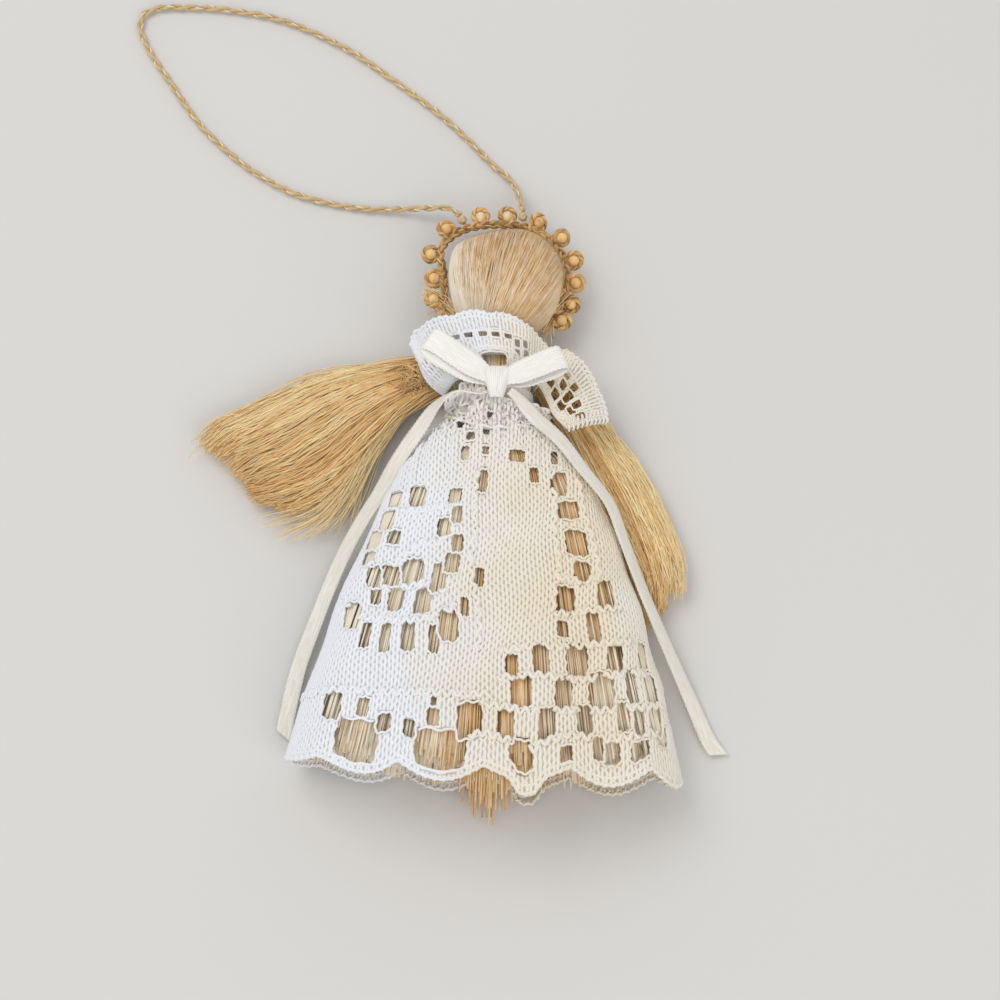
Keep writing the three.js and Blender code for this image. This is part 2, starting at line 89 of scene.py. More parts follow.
def bend(points, steps):
    """A smooth line through points, with steps pieces between each two of them."""
    points = np.asarray(points, float)
    points = np.vstack([2 * points[0] - points[1], points, 2 * points[-1] - points[-2]])
    t = np.linspace(0, 1, steps, endpoint=False)[:, None]
    line = []
    for p0, p1, p2, p3 in zip(points, points[1:], points[2:], points[3:]):
        d0, d1, d2 = (max(NEAREST, np.linalg.norm(b - a)) ** 0.5 for a, b in ((p0, p1), (p1, p2), (p2, p3)))
        m1 = d1 * ((p1 - p0) / d0 - (p2 - p0) / (d0 + d1) + (p2 - p1) / d1)
        m2 = d1 * ((p2 - p1) / d1 - (p3 - p1) / (d1 + d2) + (p3 - p2) / d2)
        square, cube = 3 * (p2 - p1) - 2 * m1 - m2, 2 * (p1 - p2) + m1 + m2
        line.append(p1 + m1 * t + square * t ** 2 + cube * t ** 3)
    return np.vstack([*line, points[-2:-1]])


def lengths(line):
    """The distance from a line's start to each of its points."""
    return np.concatenate([[0], np.cumsum(np.linalg.norm(np.diff(line, axis=0), axis=1))])


def between(places, marks, values):
    """Points or directions at these places, between those given at the marks."""
    return np.stack([np.interp(places, marks, values[:, k]) for k in range(3)], -1)


def along(line, places):
    """Points of a line at these distances from its start."""
    return between(places, lengths(line), line)


def evenly(line, count):
    return along(line, np.linspace(0, lengths(line)[-1], count + 1))


def unit(v):
    return v / np.maximum(TINY, np.linalg.norm(v, axis=-1, keepdims=True))


def bell(x, middle, width):
    """1 at the middle, falling softly to 0 on both sides of it."""
    return np.exp(-((x - middle) / width) ** 2)


def ramp(x, start, stop):
    """0 before the start, rising evenly to 1 at the stop."""
    return np.clip((x - start) / (stop - start), 0, 1)


def turned(angle, a, b):
    """A direction a, turned by an angle towards b at each point."""
    return np.cos(angle)[:, None] * a + np.sin(angle)[:, None] * b


def directions(line):
    """The direction of a line at each point, and two directions across it that don't twist."""
    ahead = unit(np.gradient(line, axis=0))
    side = np.zeros_like(line)
    last = np.cross(ahead[0], UP)
    for i, t in enumerate(ahead):
        last = last - t * np.dot(last, t)
        last = last / max(TINY, np.linalg.norm(last))
        side[i] = last
    return ahead, side, np.cross(side, ahead)


def wound(line, radius, pitch, start=0.0):
    """A line that winds round another one."""
    _, side, up = directions(line)
    return line + radius * turned(start + FULL_TURN * lengths(line) / pitch, side, up)


def thread(line, width=1.0, tone=0.5):
    """A thread of a piece: its line, and its share of the piece's radius and its tone at each point."""
    count = len(line)
    return line, np.broadcast_to(width, count).astype(float), np.broadcast_to(tone, count).astype(float)


def shaded(line, width, tone, least=0.0):
    """A thread whose tone stays between the darkest and the lightest one."""
    return thread(line, width, np.clip(tone, least, 1))


# Pieces

DOUBLES = 1e-6


def place(name, mesh, body, slot, material, nodes=()):
    """A finished piece that rides on a body and stands for CAD nodes."""
    piece = bpy.data.objects.new(name, mesh)
    bpy.context.scene.collection.objects.link(piece)
    mesh.materials.append(material)
    mesh.polygons.foreach_set("use_smooth", np.ones(len(mesh.polygons), bool))
    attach(piece, body)
    if nodes:
        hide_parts(*nodes)
    return piece


def place_threads(name, threads, radius, sides, body, slot, material, nodes=()):
    """A piece of round threads with four, six or eight sides, and the tone of each as an attribute."""
    curve = bpy.data.curves.new(name, "CURVE")
    curve.dimensions = "3D"
    curve.bevel_depth = radius * MM
    curve.bevel_resolution = (sides - 4) // 2
    curve.use_fill_caps = False
    for line, width, _ in threads:
        spline = curve.splines.new("POLY")
        spline.points.add(len(line) - 1)
        spline.points.foreach_set("co", np.hstack([to_frame(line), np.ones((len(line), 1))]).ravel())
        spline.points.foreach_set("radius", width)
    holder = bpy.data.objects.new(name, curve)
    bpy.context.scene.collection.objects.link(holder)
    mesh = bpy.data.meshes.new_from_object(holder.evaluated_get(bpy.context.evaluated_depsgraph_get()))
    mesh.name = name
    bpy.data.objects.remove(holder)
    bpy.data.curves.remove(curve)
    tones = np.concatenate([tone for _, _, tone in threads])
    tones = np.repeat(tones, len(mesh.vertices) // len(tones))
    if len(tones) != len(mesh.vertices):
        raise RuntimeError(f"{name}: the threads' tones don't fit its mesh")
    mesh.attributes.new("tone", "FLOAT", "POINT").data.foreach_set("value", tones.astype(np.float32))
    bm = bmesh.new()
    bm.from_mesh(mesh)
    bmesh.ops.holes_fill(bm, edges=[edge for edge in bm.edges if edge.is_boundary])
    bm.to_mesh(mesh)
    bm.free()
    return place(name, mesh, body, slot, material, nodes)


def grid_mesh(name, columns, rows, shape, wraps=False, gone=None):
    """A sheet. shape gives its points for shares across and along it; gone tells which faces to leave out."""
    bm = bmesh.new()
    bmesh.ops.create_grid(bm, x_segments=columns, y_segments=rows, size=1)
    bm.verts.ensure_lookup_table()
    shares = np.array([v.co[:2] for v in bm.verts]) / 2 + 0.5
    marks = bm.loops.layers.uv.new("UVMap")
    for face in bm.faces:
        for loop in face.loops:
            loop[marks].uv = shares[loop.vert.index]
    if gone is not None:
        middles = np.array([face.calc_center_median()[:2] for face in bm.faces]) / 2 + 0.5
        i, j = np.floor(middles * (columns, rows)).astype(int).T
        cut = [face for face, out in zip(list(bm.faces), gone(i, j)) if out]
        bmesh.ops.delete(bm, geom=cut, context="FACES")
        shares = np.array([v.co[:2] for v in bm.verts]) / 2 + 0.5
    for v, co in zip(bm.verts, to_frame(shape(*shares.T))):
        v.co = co
    bmesh.ops.dissolve_degenerate(bm, dist=DOUBLES, edges=bm.edges)
    if wraps:
        bmesh.ops.remove_doubles(bm, verts=bm.verts, dist=DOUBLES)
    bmesh.ops.recalc_face_normals(bm, faces=bm.faces)
    mesh = bpy.data.meshes.new(name)
    bm.to_mesh(mesh)
    bm.free()
    return mesh


def thicken(piece, thickness, offset=0.0):
    wall = piece.modifiers.new("wall", "SOLIDIFY")
    wall.thickness = thickness * MM
    wall.offset = offset
    wall.use_even_offset = False


# Finishes

COLOUR, VALUE = "NodeSocketColor", "NodeSocketFloat"
BLACK, GREY, WHITE = (0.0, 0.0, 0.0, 1.0), (0.5, 0.5, 0.5, 1.0), (1.0, 1.0, 1.0, 1.0)
# Sizes of the noise on each finish, in turns a metre, and how strongly it shows
STRAW_STREAKS, CORD_STREAKS, STREAK_SHARE = 500.0, 900.0, 0.5
STRAW_GRAIN, YARN_GRAIN = 6000.0, 5000.0
STRAW_GLOSS, STREAK_GLOSS = 0.3, 0.35
PATCHES, PATCH_SHARE, CREAM_SHARE = 60.0, 1.6, 1.1
# A ribbon's threads across its width, and how much painted highlight its ridges and patches of sheen add
SATIN_THREADS, RIDGE_SHARE, SHEEN_SHARE, BRIGHT_SHARE = 11.0, 0.34, 1.7, 0.56
SATIN_GLOSS, THREAD_GLOSS = 0.5, 0.3


class Nodes:
    """Nodes of a tree, made and joined in one call each."""

    def __init__(self, tree):
        self.tree = tree

    def add(self, kind, values=None, **settings):
        node = self.tree.nodes.new(kind)
        for key, value in settings.items():
            setattr(node, key, value)
        for key, value in (values or {}).items():
            if isinstance(value, bpy.types.NodeSocket):
                self.join(value, node.inputs[key])
            else:
                node.inputs[key].default_value = value
        return node

    def join(self, socket, target):
        self.tree.links.new(socket, target)

    def math(self, operation, a, b=0.0, c=0.0):
        return self.add("ShaderNodeMath", {0: a, 1: b, 2: c}, operation=operation).outputs[0]

    def scaled(self, value, by, plus=0.0):
        return self.math("MULTIPLY_ADD", value, by, plus)

    def blend(self, share, a, b):
        return self.add("ShaderNodeMix", {0: share, 6: a, 7: b}, data_type="RGBA").outputs[2]

    def noise(self, place, scale, detail=2.0, roughness=0.5):
        values = {"Vector": place, "Scale": scale, "Detail": detail, "Roughness": roughness}
        return self.add("ShaderNodeTexNoise", values).outputs[0]

    def here(self):
        return self.add("ShaderNodeTexCoord").outputs["Object"]


def effect_group(name, inputs, outputs, wire):
    """A node group of this name. wire joins its nodes from the sockets given to those made."""
    group = bpy.data.node_groups.get(name)
    if group:
        return group
    group = bpy.data.node_groups.new(name, "ShaderNodeTree")
    for socket, kind, value in inputs:
        made = group.interface.new_socket(name=socket, in_out="INPUT", socket_type=kind)
        made.default_value = value
    for socket, kind in outputs:
        group.interface.new_socket(name=socket, in_out="OUTPUT", socket_type=kind)
    nodes = Nodes(group)
    given = nodes.add("NodeGroupInput").outputs
    made = nodes.add("NodeGroupOutput").inputs
    for socket, result in wire(nodes, given).items():
        nodes.join(result, made[socket])
    return group


def fibre_tones(nodes, given):
    tone = nodes.add("ShaderNodeAttribute", attribute_name="tone").outputs["Fac"]
    spot = nodes.here()
    streaks = nodes.noise(spot, given["Streak Scale"], 3.0)
    tone = nodes.math("ADD", tone, nodes.scaled(streaks, STREAK_SHARE, -STREAK_SHARE / 2))
    colour = nodes.blend(nodes.scaled(tone, 2.0), given["Dark"], given["Middle"])
    return {
        "Color": nodes.blend(nodes.scaled(tone, 2.0, -1.0), colour, given["Light"]),
        "Roughness": nodes.scaled(streaks, STREAK_GLOSS, STRAW_GLOSS),
        "Height": nodes.noise(spot, STRAW_GRAIN, 1.0),
    }


def fibre_group():
    """Dark, middle and light along each fibre's tone, with fine streaks."""
    inputs = [("Dark", COLOUR, BLACK), ("Middle", COLOUR, GREY), ("Light", COLOUR, WHITE),
              ("Streak Scale", VALUE, STRAW_STREAKS)]
    outputs = [("Color", COLOUR), ("Roughness", VALUE), ("Height", VALUE)]
    return effect_group("Fibre tone", inputs, outputs, fibre_tones)


def lace_tints(nodes, given):
    spot = nodes.here()
    x = nodes.add("ShaderNodeSeparateXYZ", {0: spot}).outputs["X"]
    patch = nodes.scaled(nodes.noise(spot, PATCHES), PATCH_SHARE, CREAM_SHARE - PATCH_SHARE / 2)
    off = nodes.math("ABSOLUTE", nodes.math("SUBTRACT", x, given["Middle"]))
    # share of cream: partly yellowing, partly painted shade and painted warm light from the straw
    share = nodes.math("SUBTRACT", patch, nodes.math("DIVIDE", off, given["Spread"]))
    return {
        "Color": nodes.blend(share, given["White"], given["Cream"]),
        "Height": nodes.noise(spot, YARN_GRAIN),
    }


def lace_group():
    """White cotton, cream in soft patches round its middle: partly yellowed cotton, partly painted shade and painted
    warm light from the straw under it.
    """
    inputs = [("White", COLOUR, WHITE), ("Cream", COLOUR, GREY)]
    inputs += [("Middle", VALUE, 0.0), ("Spread", VALUE, 1.0)]
    return effect_group("Lace tint", inputs, [("Color", COLOUR), ("Height", VALUE)], lace_tints)


def satin_threads_and_highlights(nodes, given):
    spot = nodes.add("ShaderNodeUVMap", uv_map="UVMap").outputs[0]
    across = nodes.add("ShaderNodeSeparateXYZ", {0: spot}).outputs["X"]
    ridges = nodes.math("SINE", nodes.scaled(across, FULL_TURN * SATIN_THREADS))
    stretch = nodes.add("ShaderNodeCombineXYZ", {"X": SATIN_THREADS, "Y": given["Runs"], "Z": 1.0}).outputs[0]
    spot = nodes.add("ShaderNodeVectorMath", {0: spot, 1: stretch}, operation="MULTIPLY").outputs[0]
    patch = nodes.scaled(nodes.noise(spot, 1.0, 3.0, 0.6), SHEEN_SHARE, BRIGHT_SHARE - SHEEN_SHARE / 2)
    threads = nodes.math("ADD", nodes.scaled(ridges, RIDGE_SHARE), patch)
    return {
        # painted highlights on the ridges and patches of sheen, painted shade between them
        "Color": nodes.blend(threads, given["Shade"], given["Bright"]),
        "Roughness": nodes.scaled(threads, -THREAD_GLOSS, SATIN_GLOSS),
        "Height": threads,
    }


def satin_group():
    """Lengthwise threads of a ribbon, from its own map, with painted highlights along their ridges and in patches of
    sheen.
    """
    inputs = [("Shade", COLOUR, GREY), ("Bright", COLOUR, WHITE), ("Runs", VALUE, 1.0)]
    outputs = [("Color", COLOUR), ("Roughness", VALUE), ("Height", VALUE)]
    return effect_group("Satin threads", inputs, outputs, satin_threads_and_highlights)


def finish_material(name, group, values, plain, strength, depth):
    """A material whose colour, roughness and relief come from an effect group."""
    found = bpy.data.materials.get(name)
    if found:
        return found
    material = bpy.data.materials.new(name)
    material.use_nodes = True
    nodes = Nodes(material.node_tree)
    shader = material.node_tree.nodes["Principled BSDF"]
    effect = nodes.add("ShaderNodeGroup", node_tree=group)
    for key, value in values.items():
        effect.inputs[key].default_value = (*value, 1.0) if hasattr(value, "__len__") else value
    nodes.join(effect.outputs["Color"], shader.inputs["Base Color"])
    if "Roughness" in effect.outputs:
        nodes.join(effect.outputs["Roughness"], shader.inputs["Roughness"])
    for key, value in plain.items():
        shader.inputs[key].default_value = value
    relief = {"Strength": strength, "Distance": depth * MM, "Height": effect.outputs["Height"]}
    nodes.join(nodes.add("ShaderNodeBump", relief).outputs[0], shader.inputs["Normal"])
    return material


def straw(name, dark, middle, light, streaks=STRAW_STREAKS):
    values = {"Dark": dark, "Middle": middle, "Light": light, "Streak Scale": streaks}
    plain = {"Specular IOR Level": 0.4, "Sheen Weight": 0.08}
    return finish_material(name, fibre_group(), values, plain, strength=0.25, depth=0.05)


def cotton(name, white, cream, middle, spread):
    values = {"White": white, "Cream": cream, "Middle": middle, "Spread": spread}
    plain = {"Roughness": 0.85, "Specular IOR Level": 0.25, "Sheen Weight": 0.15}
    return finish_material(name, lace_group(), values, plain, strength=0.35, depth=0.06)


def satin(name, shade, bright, runs):
    values = {"Shade": shade, "Bright": bright, "Runs": runs}
    plain = {"Specular IOR Level": 0.6, "Sheen Weight": 0.2, "Coat Weight": 0.1, "Coat Roughness": 0.3}
    return finish_material(name, satin_group(), values, plain, strength=0.6, depth=0.1)


# Sizes and colours

def size(label, about, value):
    default = value * MM
    return FloatProperty(name=label, description=about, default=default, min=0.0, unit="LENGTH",
                         subtype="DISTANCE")


def colour(label, about, value):
    return FloatVectorProperty(name=label, description=about, default=value, size=3, min=0.0, max=1.0,
                               subtype="COLOR")


def count(label, about, value):
    return IntProperty(name=label, description=about, default=value, min=1)


class DollSizes(bpy.types.PropertyGroup):
    ribbon_width: size("Ribbon Width", "Width of the satin ribbon", 3.0)
    ribbon_thickness: size("Ribbon Thickness", "Thickness of the satin ribbon", 0.3)
    cord_diameter: size("Cord Diameter", "Thickness of the hanging cord over both its plies", 1.3)
    cord_twist: size("Cord Twist", "Length of cord in which its plies go round once", 6.4)
    braid_width: size("Braid Width", "Width of the plait round the head", 1.7)
    strand_radius: size("Strand Radius", "Radius of the straw fibres", 0.1)
    hair_radius: size("Hair Radius", "Radius of the fine blond fibres of the head", 0.08)
    column_width: size("Column Width", "Width of one column of stitches in the lace", 0.74)
    stitch_length: size("Stitch Length", "Length of one stitch in the lace", 1.4)
    yarn_radius: size("Yarn Radius", "Radius of the lace's yarn", 0.33)
    skirt_length: size("Skirt Length", "Length of the skirt from the waist to the sides of the hem", 61.0)
    wing_strands: count("Wing Strands", "Fibres in the broad wing; the narrow one has two thirds", 1850)
    head_strands: count("Head Strands", "Fibres folded over the head", 2500)
    body_strands: count("Body Strands", "Fibres of the body under the dress", 1850)
    core_strands: count("Core Strands", "Coarse fibres inside the body", 900)


class DollColours(bpy.types.PropertyGroup):
    straw_dark: colour("Dark Straw", "Shaded and cut straw fibres", (0.20, 0.10, 0.03))
    straw: colour("Straw", "Straw fibres of the wings and halo", (0.90, 0.57, 0.23))
    straw_light: colour("Light Straw", "Bleached straw fibres", (0.99, 0.82, 0.48))
    blond_dark: colour("Dark Blond", "Shade between the fibres of the head", (0.34, 0.18, 0.07))
    blond: colour("Blond", "Fibres of the head", (0.79, 0.53, 0.26))
    blond_light: colour("Light Blond", "Bleached fibres of the head", (0.93, 0.84, 0.69))
    body_dark: colour("Dark Body Straw", "Shade between the fibres of the body", (0.45, 0.27, 0.11))
    body: colour("Body Straw", "Fibres of the body", (0.82, 0.54, 0.25))
    # Light Body Straw also gives the painted light on the body's fibres towards the sides of the skirt
    body_light: colour("Light Body Straw", "Bleached fibres of the body", (0.95, 0.88, 0.73))
    # Lace White's blue tint is painted daylight; Lace Cream is partly yellowed cotton, partly painted shade and
    # painted warm light from the straw under the lace
    lace_white: colour("Lace White", "White side of the lace", (0.89, 0.905, 0.94))
    lace_cream: colour("Lace Cream", "Aged side of the lace", (0.87, 0.79, 0.64))
    lace_ground: colour("Lace Ground", "White lace between the stitches, in their shade", (0.63, 0.63, 0.62))
    lace_ground_cream: colour("Cream Ground", "Aged lace between the stitches, in their shade",
                              (0.62, 0.53, 0.40))
    # The satin's colours are painted light: painted shade between its threads, creamier on the loose ends, and Satin
    # Bright as their painted highlight
    satin_shade: colour("Satin Shade", "Shaded threads of the bow", (0.84, 0.79, 0.68))
    satin_aged: colour("Aged Satin", "Shaded threads of the ribbon's loose ends", (0.74, 0.66, 0.48))
    satin_bright: colour("Satin Bright", "Bright threads of the ribbon", (0.97, 0.97, 0.95))
    cord_dark: colour("Dark Cord", "Shade between the cord's fibres", (0.42, 0.28, 0.12))
    cord: colour("Cord", "Hanging cord", (0.70, 0.52, 0.28))
    cord_light: colour("Light Cord", "Bright fibres of the hanging cord", (0.90, 0.77, 0.52))
    floor: colour("Floor", "Floor under the doll", (0.70, 0.69, 0.67))


def sizes(name):
    return getattr(bpy.context.scene.doll_sizes, name) / MM


def counts(name):
    return getattr(bpy.context.scene.doll_sizes, name)


def colours(*names):
    return [tuple(getattr(bpy.context.scene.doll_colours, name)) for name in names]


# Where each cotton is cream: the middle of that part across the frame and half its width, in metres
LACE_TINT, COLLAR_TINT, TIE_TINT = (0.026, 0.028), (0.0225, 0.0125), (0.0, 0.01)


def wing_straw():
    return straw("Straw fibre", *colours("straw_dark", "straw", "straw_light"))


def head_straw():
    return straw("Blond fibre", *colours("blond_dark", "blond", "blond_light"))


def body_straw():
    return straw("Body fibre", *colours("body_dark", "body", "body_light"))


def cord_straw():
    return straw("Twisted straw cord", *colours("cord_dark", "cord", "cord_light"), CORD_STREAKS)


def lace_yarn():
    return cotton("Lace yarn", *colours("lace_white", "lace_cream"), *LACE_TINT)


def lace_base():
    return cotton("Lace ground", *colours("lace_ground", "lace_ground_cream"), *LACE_TINT)


def collar_yarn():
    return cotton("Collar yarn", *colours("lace_white", "lace_cream"), *COLLAR_TINT)


def tie_thread():
    return cotton("Binding thread", *colours("lace_white", "lace_cream"), *TIE_TINT)


def pressed_cotton():
    return cotton("Pressed cotton", *colours("lace_white", "lace_cream"), *LACE_TINT)


def ribbon_satin(runs, shade="satin_shade"):
    return satin(f"Ribbon satin {runs:g}", *colours(shade, "satin_bright"), runs)


# Stage

# The camera's place from the middle of the waist in millimetres, its azimuth, elevation and field of view in
# degrees
CAMERA_PLACE = (6.0, -142.1, 404.0)
CAMERA_AZIMUTH, CAMERA_ELEVATION, CAMERA_FIELD = 2.2, 72.0, 24.45
CAMERA_NEAR = 0.01
PHOTO_WIDTH = 1000
SKY_TINT, SKY_STRENGTH = (0.97, 0.98, 1.0, 1.0), 0.62
# Each lamp's place in metres, its power in watts and its tint
LAMPS = {
    "window": ((-0.4, 0.25, 0.8), 2.9, (1.0, 0.985, 0.96)),
    "fill": ((0.35, -0.55, 0.55), 1.7, (1.0, 0.96, 0.9)),
}
LAMP_WIDTH = 0.6
FLOOR_REACH, FLOOR_DROP, FLOOR_ROUGHNESS = 3.0, 0.0002, 0.8


def camera_axes():
    """The camera's directions ahead, to the right and up."""
    turn, rise = math.radians(CAMERA_AZIMUTH), math.radians(CAMERA_ELEVATION)
    ahead = np.array([-math.sin(turn) * math.cos(rise), math.cos(turn) * math.cos(rise), -math.sin(rise)])
    right = np.array([math.cos(turn), math.sin(turn), 0.0])
    return ahead, right, np.cross(right, ahead)


def in_photo(places):
    """Where the photograph shows places, in pixels from its left and upper edges."""
    ahead, right, up = camera_axes()
    seen = places - np.array(CAMERA_PLACE)
    scale = PHOTO_WIDTH / 2 / math.tan(math.radians(CAMERA_FIELD / 2)) / (seen @ ahead)
    return PHOTO_WIDTH / 2 + scale * (seen @ right), PHOTO_WIDTH / 2 - scale * (seen @ up)


def facing_along(ahead):
    """The turn of a camera or lamp that looks this way."""
    return Vector(ahead).to_track_quat("-Z", "Y").to_euler()


class DOLL_OT_stage(bpy.types.Operator):
    """Camera, soft light and a plain floor"""
    bl_idname = "doll.stage"
    bl_label = "Stage"

    def execute(self, context):
        scene = context.scene
        scene.view_settings.view_transform = "Standard"
        camera = bpy.data.objects.new("camera", bpy.data.cameras.new("camera"))
        scene.collection.objects.link(camera)
        camera.data.sensor_fit = "AUTO"
        camera.data.angle = math.radians(CAMERA_FIELD)
        camera.data.clip_start = CAMERA_NEAR
        camera.location = to_frame(CAMERA_PLACE)
        camera.rotation_euler = facing_along(camera_axes()[0])
        scene.camera = camera

        world = bpy.data.worlds.new("studio")
        world.use_nodes = True
        sky = world.node_tree.nodes["Background"].inputs
        sky["Color"].default_value = SKY_TINT
        sky["Strength"].default_value = SKY_STRENGTH
        scene.world = world
        for name, (spot, energy, tint) in LAMPS.items():
            lamp = bpy.data.objects.new(name, bpy.data.lights.new(name, "AREA"))
            lamp.data.energy = energy
            lamp.data.size = LAMP_WIDTH
            lamp.data.color = tint
            lamp.location = spot
            lamp.rotation_euler = facing_along(-Vector(spot))
            scene.collection.objects.link(lamp)

        bm = bmesh.new()
        bmesh.ops.create_grid(bm, x_segments=1, y_segments=1, size=FLOOR_REACH)
        bmesh.ops.translate(bm, verts=bm.verts, vec=(0, 0, -FLOOR_DROP))
        mesh = bpy.data.meshes.new("floor")
        bm.to_mesh(mesh)
        bm.free()
        floor = bpy.data.objects.new("floor", mesh)
        scene.collection.objects.link(floor)
        paint = bpy.data.materials.new("Pale floor")
        paint.use_nodes = True
        shader = paint.node_tree.nodes["Principled BSDF"].inputs
        shader["Base Color"].default_value = (*colours("floor")[0], 1)
        shader["Roughness"].default_value = FLOOR_ROUGHNESS
        mesh.materials.append(paint)
        return {"FINISHED"}


# Hanging loop

# The cord's places from the left knot, on the table, and from the right knot
CORD_FROM_LEFT = [(-0.48, 1.08, -0.3), (-2.6, 2.9, -1.2), (-6.4, 3.6, -2.9), (-12.4, 3.9, -4.6)]
CORD_LAID = [
    (-28, 46.5), (-37.2, 48), (-42.3, 49.7), (-47.5, 52.5), (-51.7, 55.3), (-56.7, 59.6), (-59.9, 62.8),
    (-63.3, 67.1), (-66.8, 72.2), (-69.7, 76.2), (-72.2, 80.4), (-73.6, 84), (-72.8, 86.9), (-70, 88.3),
    (-65.4, 88.6), (-58.3, 88.5), (-53.7, 88), (-48.4, 87.2), (-42.7, 85.4), (-36.8, 82.8), (-30.9, 79.6),
    (-24.6, 75.2), (-18.7, 70.9), (-13.5, 66.8), (-8.2, 62), (-3.3, 56.9),
]
CORD_TO_RIGHT = [(-2.4, 9.4, -4.7), (-0.8, 5, -2.9), (0, 1.2, -0.3)]
CORD_REST = 0.75
CORD_STEPS = 460
CORD_TONE, CORD_TONE_SPREAD = 0.5, 0.13
# A ply's fibres, how far they and the plies lie from their middles, their thickness, and how they twist back
PLY_FIBRES, PLY_OUT, FIBRE_OUT, FIBRE_THICK, FIBRE_TWIST = 5, 0.48, 0.3, 0.27, -0.45
# The turns of a knot's strands, the radius on which they are wound, and their own
KNOT_TURNS, KNOT_RADIUS, KNOT_STRAND_RADIUS = 2.5, 0.62, 0.3
# How the three strands differ from each other: their start, their lean and their tone
KNOT_STARTS, KNOT_LEANS, KNOT_TONES = (0.0, 2.1, 4.2), (0.0, 1.2, 2.4), (0.35, 0.47, 0.59)


def on_ball(lie, spin):
    """Points on a ball from their angle off its axis, which is X, and their turn about it."""
    return np.stack([np.cos(lie), np.sin(lie) * np.cos(spin), np.sin(lie) * np.sin(spin)], -1)


def knot_threads(middle):
    share = np.linspace(0, 1, 90)
    threads = []
    for start, lean, tone in zip(KNOT_STARTS, KNOT_LEANS, KNOT_TONES):
        spin = FULL_TURN * KNOT_TURNS * share + start
        line = KNOT_RADIUS * on_ball(np.pi * (0.15 + 0.7 * share), spin)[:, [1, 0, 2]]
        threads.append(thread(middle + line @ np.array(Matrix.Rotation(lean, 3, "Z")), 1.0, tone))
    return threads


class DOLL_OT_hanging_loop(bpy.types.Operator):
    """Twisted cord laid out from its two knots on the halo"""
    bl_idname = "doll.hanging_loop"
    bl_label = "Hanging Loop"

    def execute(self, context):
        rng = np.random.default_rng(3)
        knots = {side: own_middle(f"hang_knot_{side}") for side in ("left", "right")}
        laid = [(x, y, CORD_REST) for x, y in CORD_LAID]
        route = bend([*(knots["left"] + CORD_FROM_LEFT), *laid, *(knots["right"] + CORD_TO_RIGHT)], 8)
        route = evenly(route, CORD_STEPS)
        radius, twist = sizes("cord_diameter") / 2, sizes("cord_twist")
        threads = []
        for ply in (0, math.pi):
            core = wound(route, PLY_OUT * radius, twist, ply)
            for fibre in range(PLY_FIBRES):
                line = wound(core, FIBRE_OUT * radius, FIBRE_TWIST * twist, fibre * FULL_TURN / PLY_FIBRES)
                threads.append(shaded(line, rng.uniform(0.85, 1.1), rng.normal(CORD_TONE, CORD_TONE_SPREAD)))
        cord = place_threads("hang_cord_twist", threads, FIBRE_THICK * radius, 4, "hanging_loop", "straw",
                             cord_straw(), ["hang_cord"])
        path = to_frame(route)
        sizes("cord_diameter") * MM
        for side, middle in knots.items():
            place_threads(f"hang_knot_{side}_wound", knot_threads(middle), KNOT_STRAND_RADIUS, 6, "hanging_loop",
                          "straw", cord_straw(), [f"hang_knot_{side}"])
        return {"FINISHED"}


# Skirt

WAIST_HALF_WIDTH, WAIST_HALF_DEPTH = 8.3, 7.0
# The hem's half width, the heights of its front and sides above the table, and how much lower its middle hangs
HEM_HALF_WIDTH, HEM_FRONT, HEM_SIDE, HEM_DROP = 34.4, 21.5, 5.0, 5.5
SKIRT_FLARE = 0.6
FOLDS, FOLD_DEPTH = 5, 1.6


def skirt_half_width(down):
    return WAIST_HALF_WIDTH + (HEM_HALF_WIDTH - WAIST_HALF_WIDTH) * np.maximum(0, down) ** SKIRT_FLARE


def skirt_point(turn, down, inset=0.0, narrow=1.0, drop=HEM_DROP):
    """A point of the skirt: turn goes round from the right side over the front, down from the waist to the hem."""
    rise = np.sin(turn)
    top = BODY_HEIGHT + WAIST_HALF_DEPTH
    front = top + (HEM_FRONT - top) * down - inset
    back = (BODY_HEIGHT - WAIST_HALF_DEPTH) * (1 - np.minimum(1, 4 * down)) + inset
    side = BODY_HEIGHT + (HEM_SIDE - BODY_HEIGHT) * down
    fold = FOLD_DEPTH * down * np.maximum(0, rise) * np.sin(FOLDS * turn) ** 2
    over = side + (front - side) * np.maximum(0, rise) ** 0.8 - fold
    under = side - (side - back) * np.minimum(1, 1.6 * np.maximum(0, -rise) ** 0.6)
    y = -down * (sizes("skirt_length") + drop * np.abs(rise))
    x = (skirt_half_width(down) - inset) * narrow * np.cos(turn)
    return np.stack(np.broadcast_arrays(x, y, np.where(rise > 0, over, under)), -1)


# Ribbon

RIBBON_WOVEN = 0.8
PICOT = 0.07
TAIL_CUP, BOW_CUP = 0.1, 0.12
TAIL_CUT, TAIL_CUT_SHARE = 1.8, 0.1
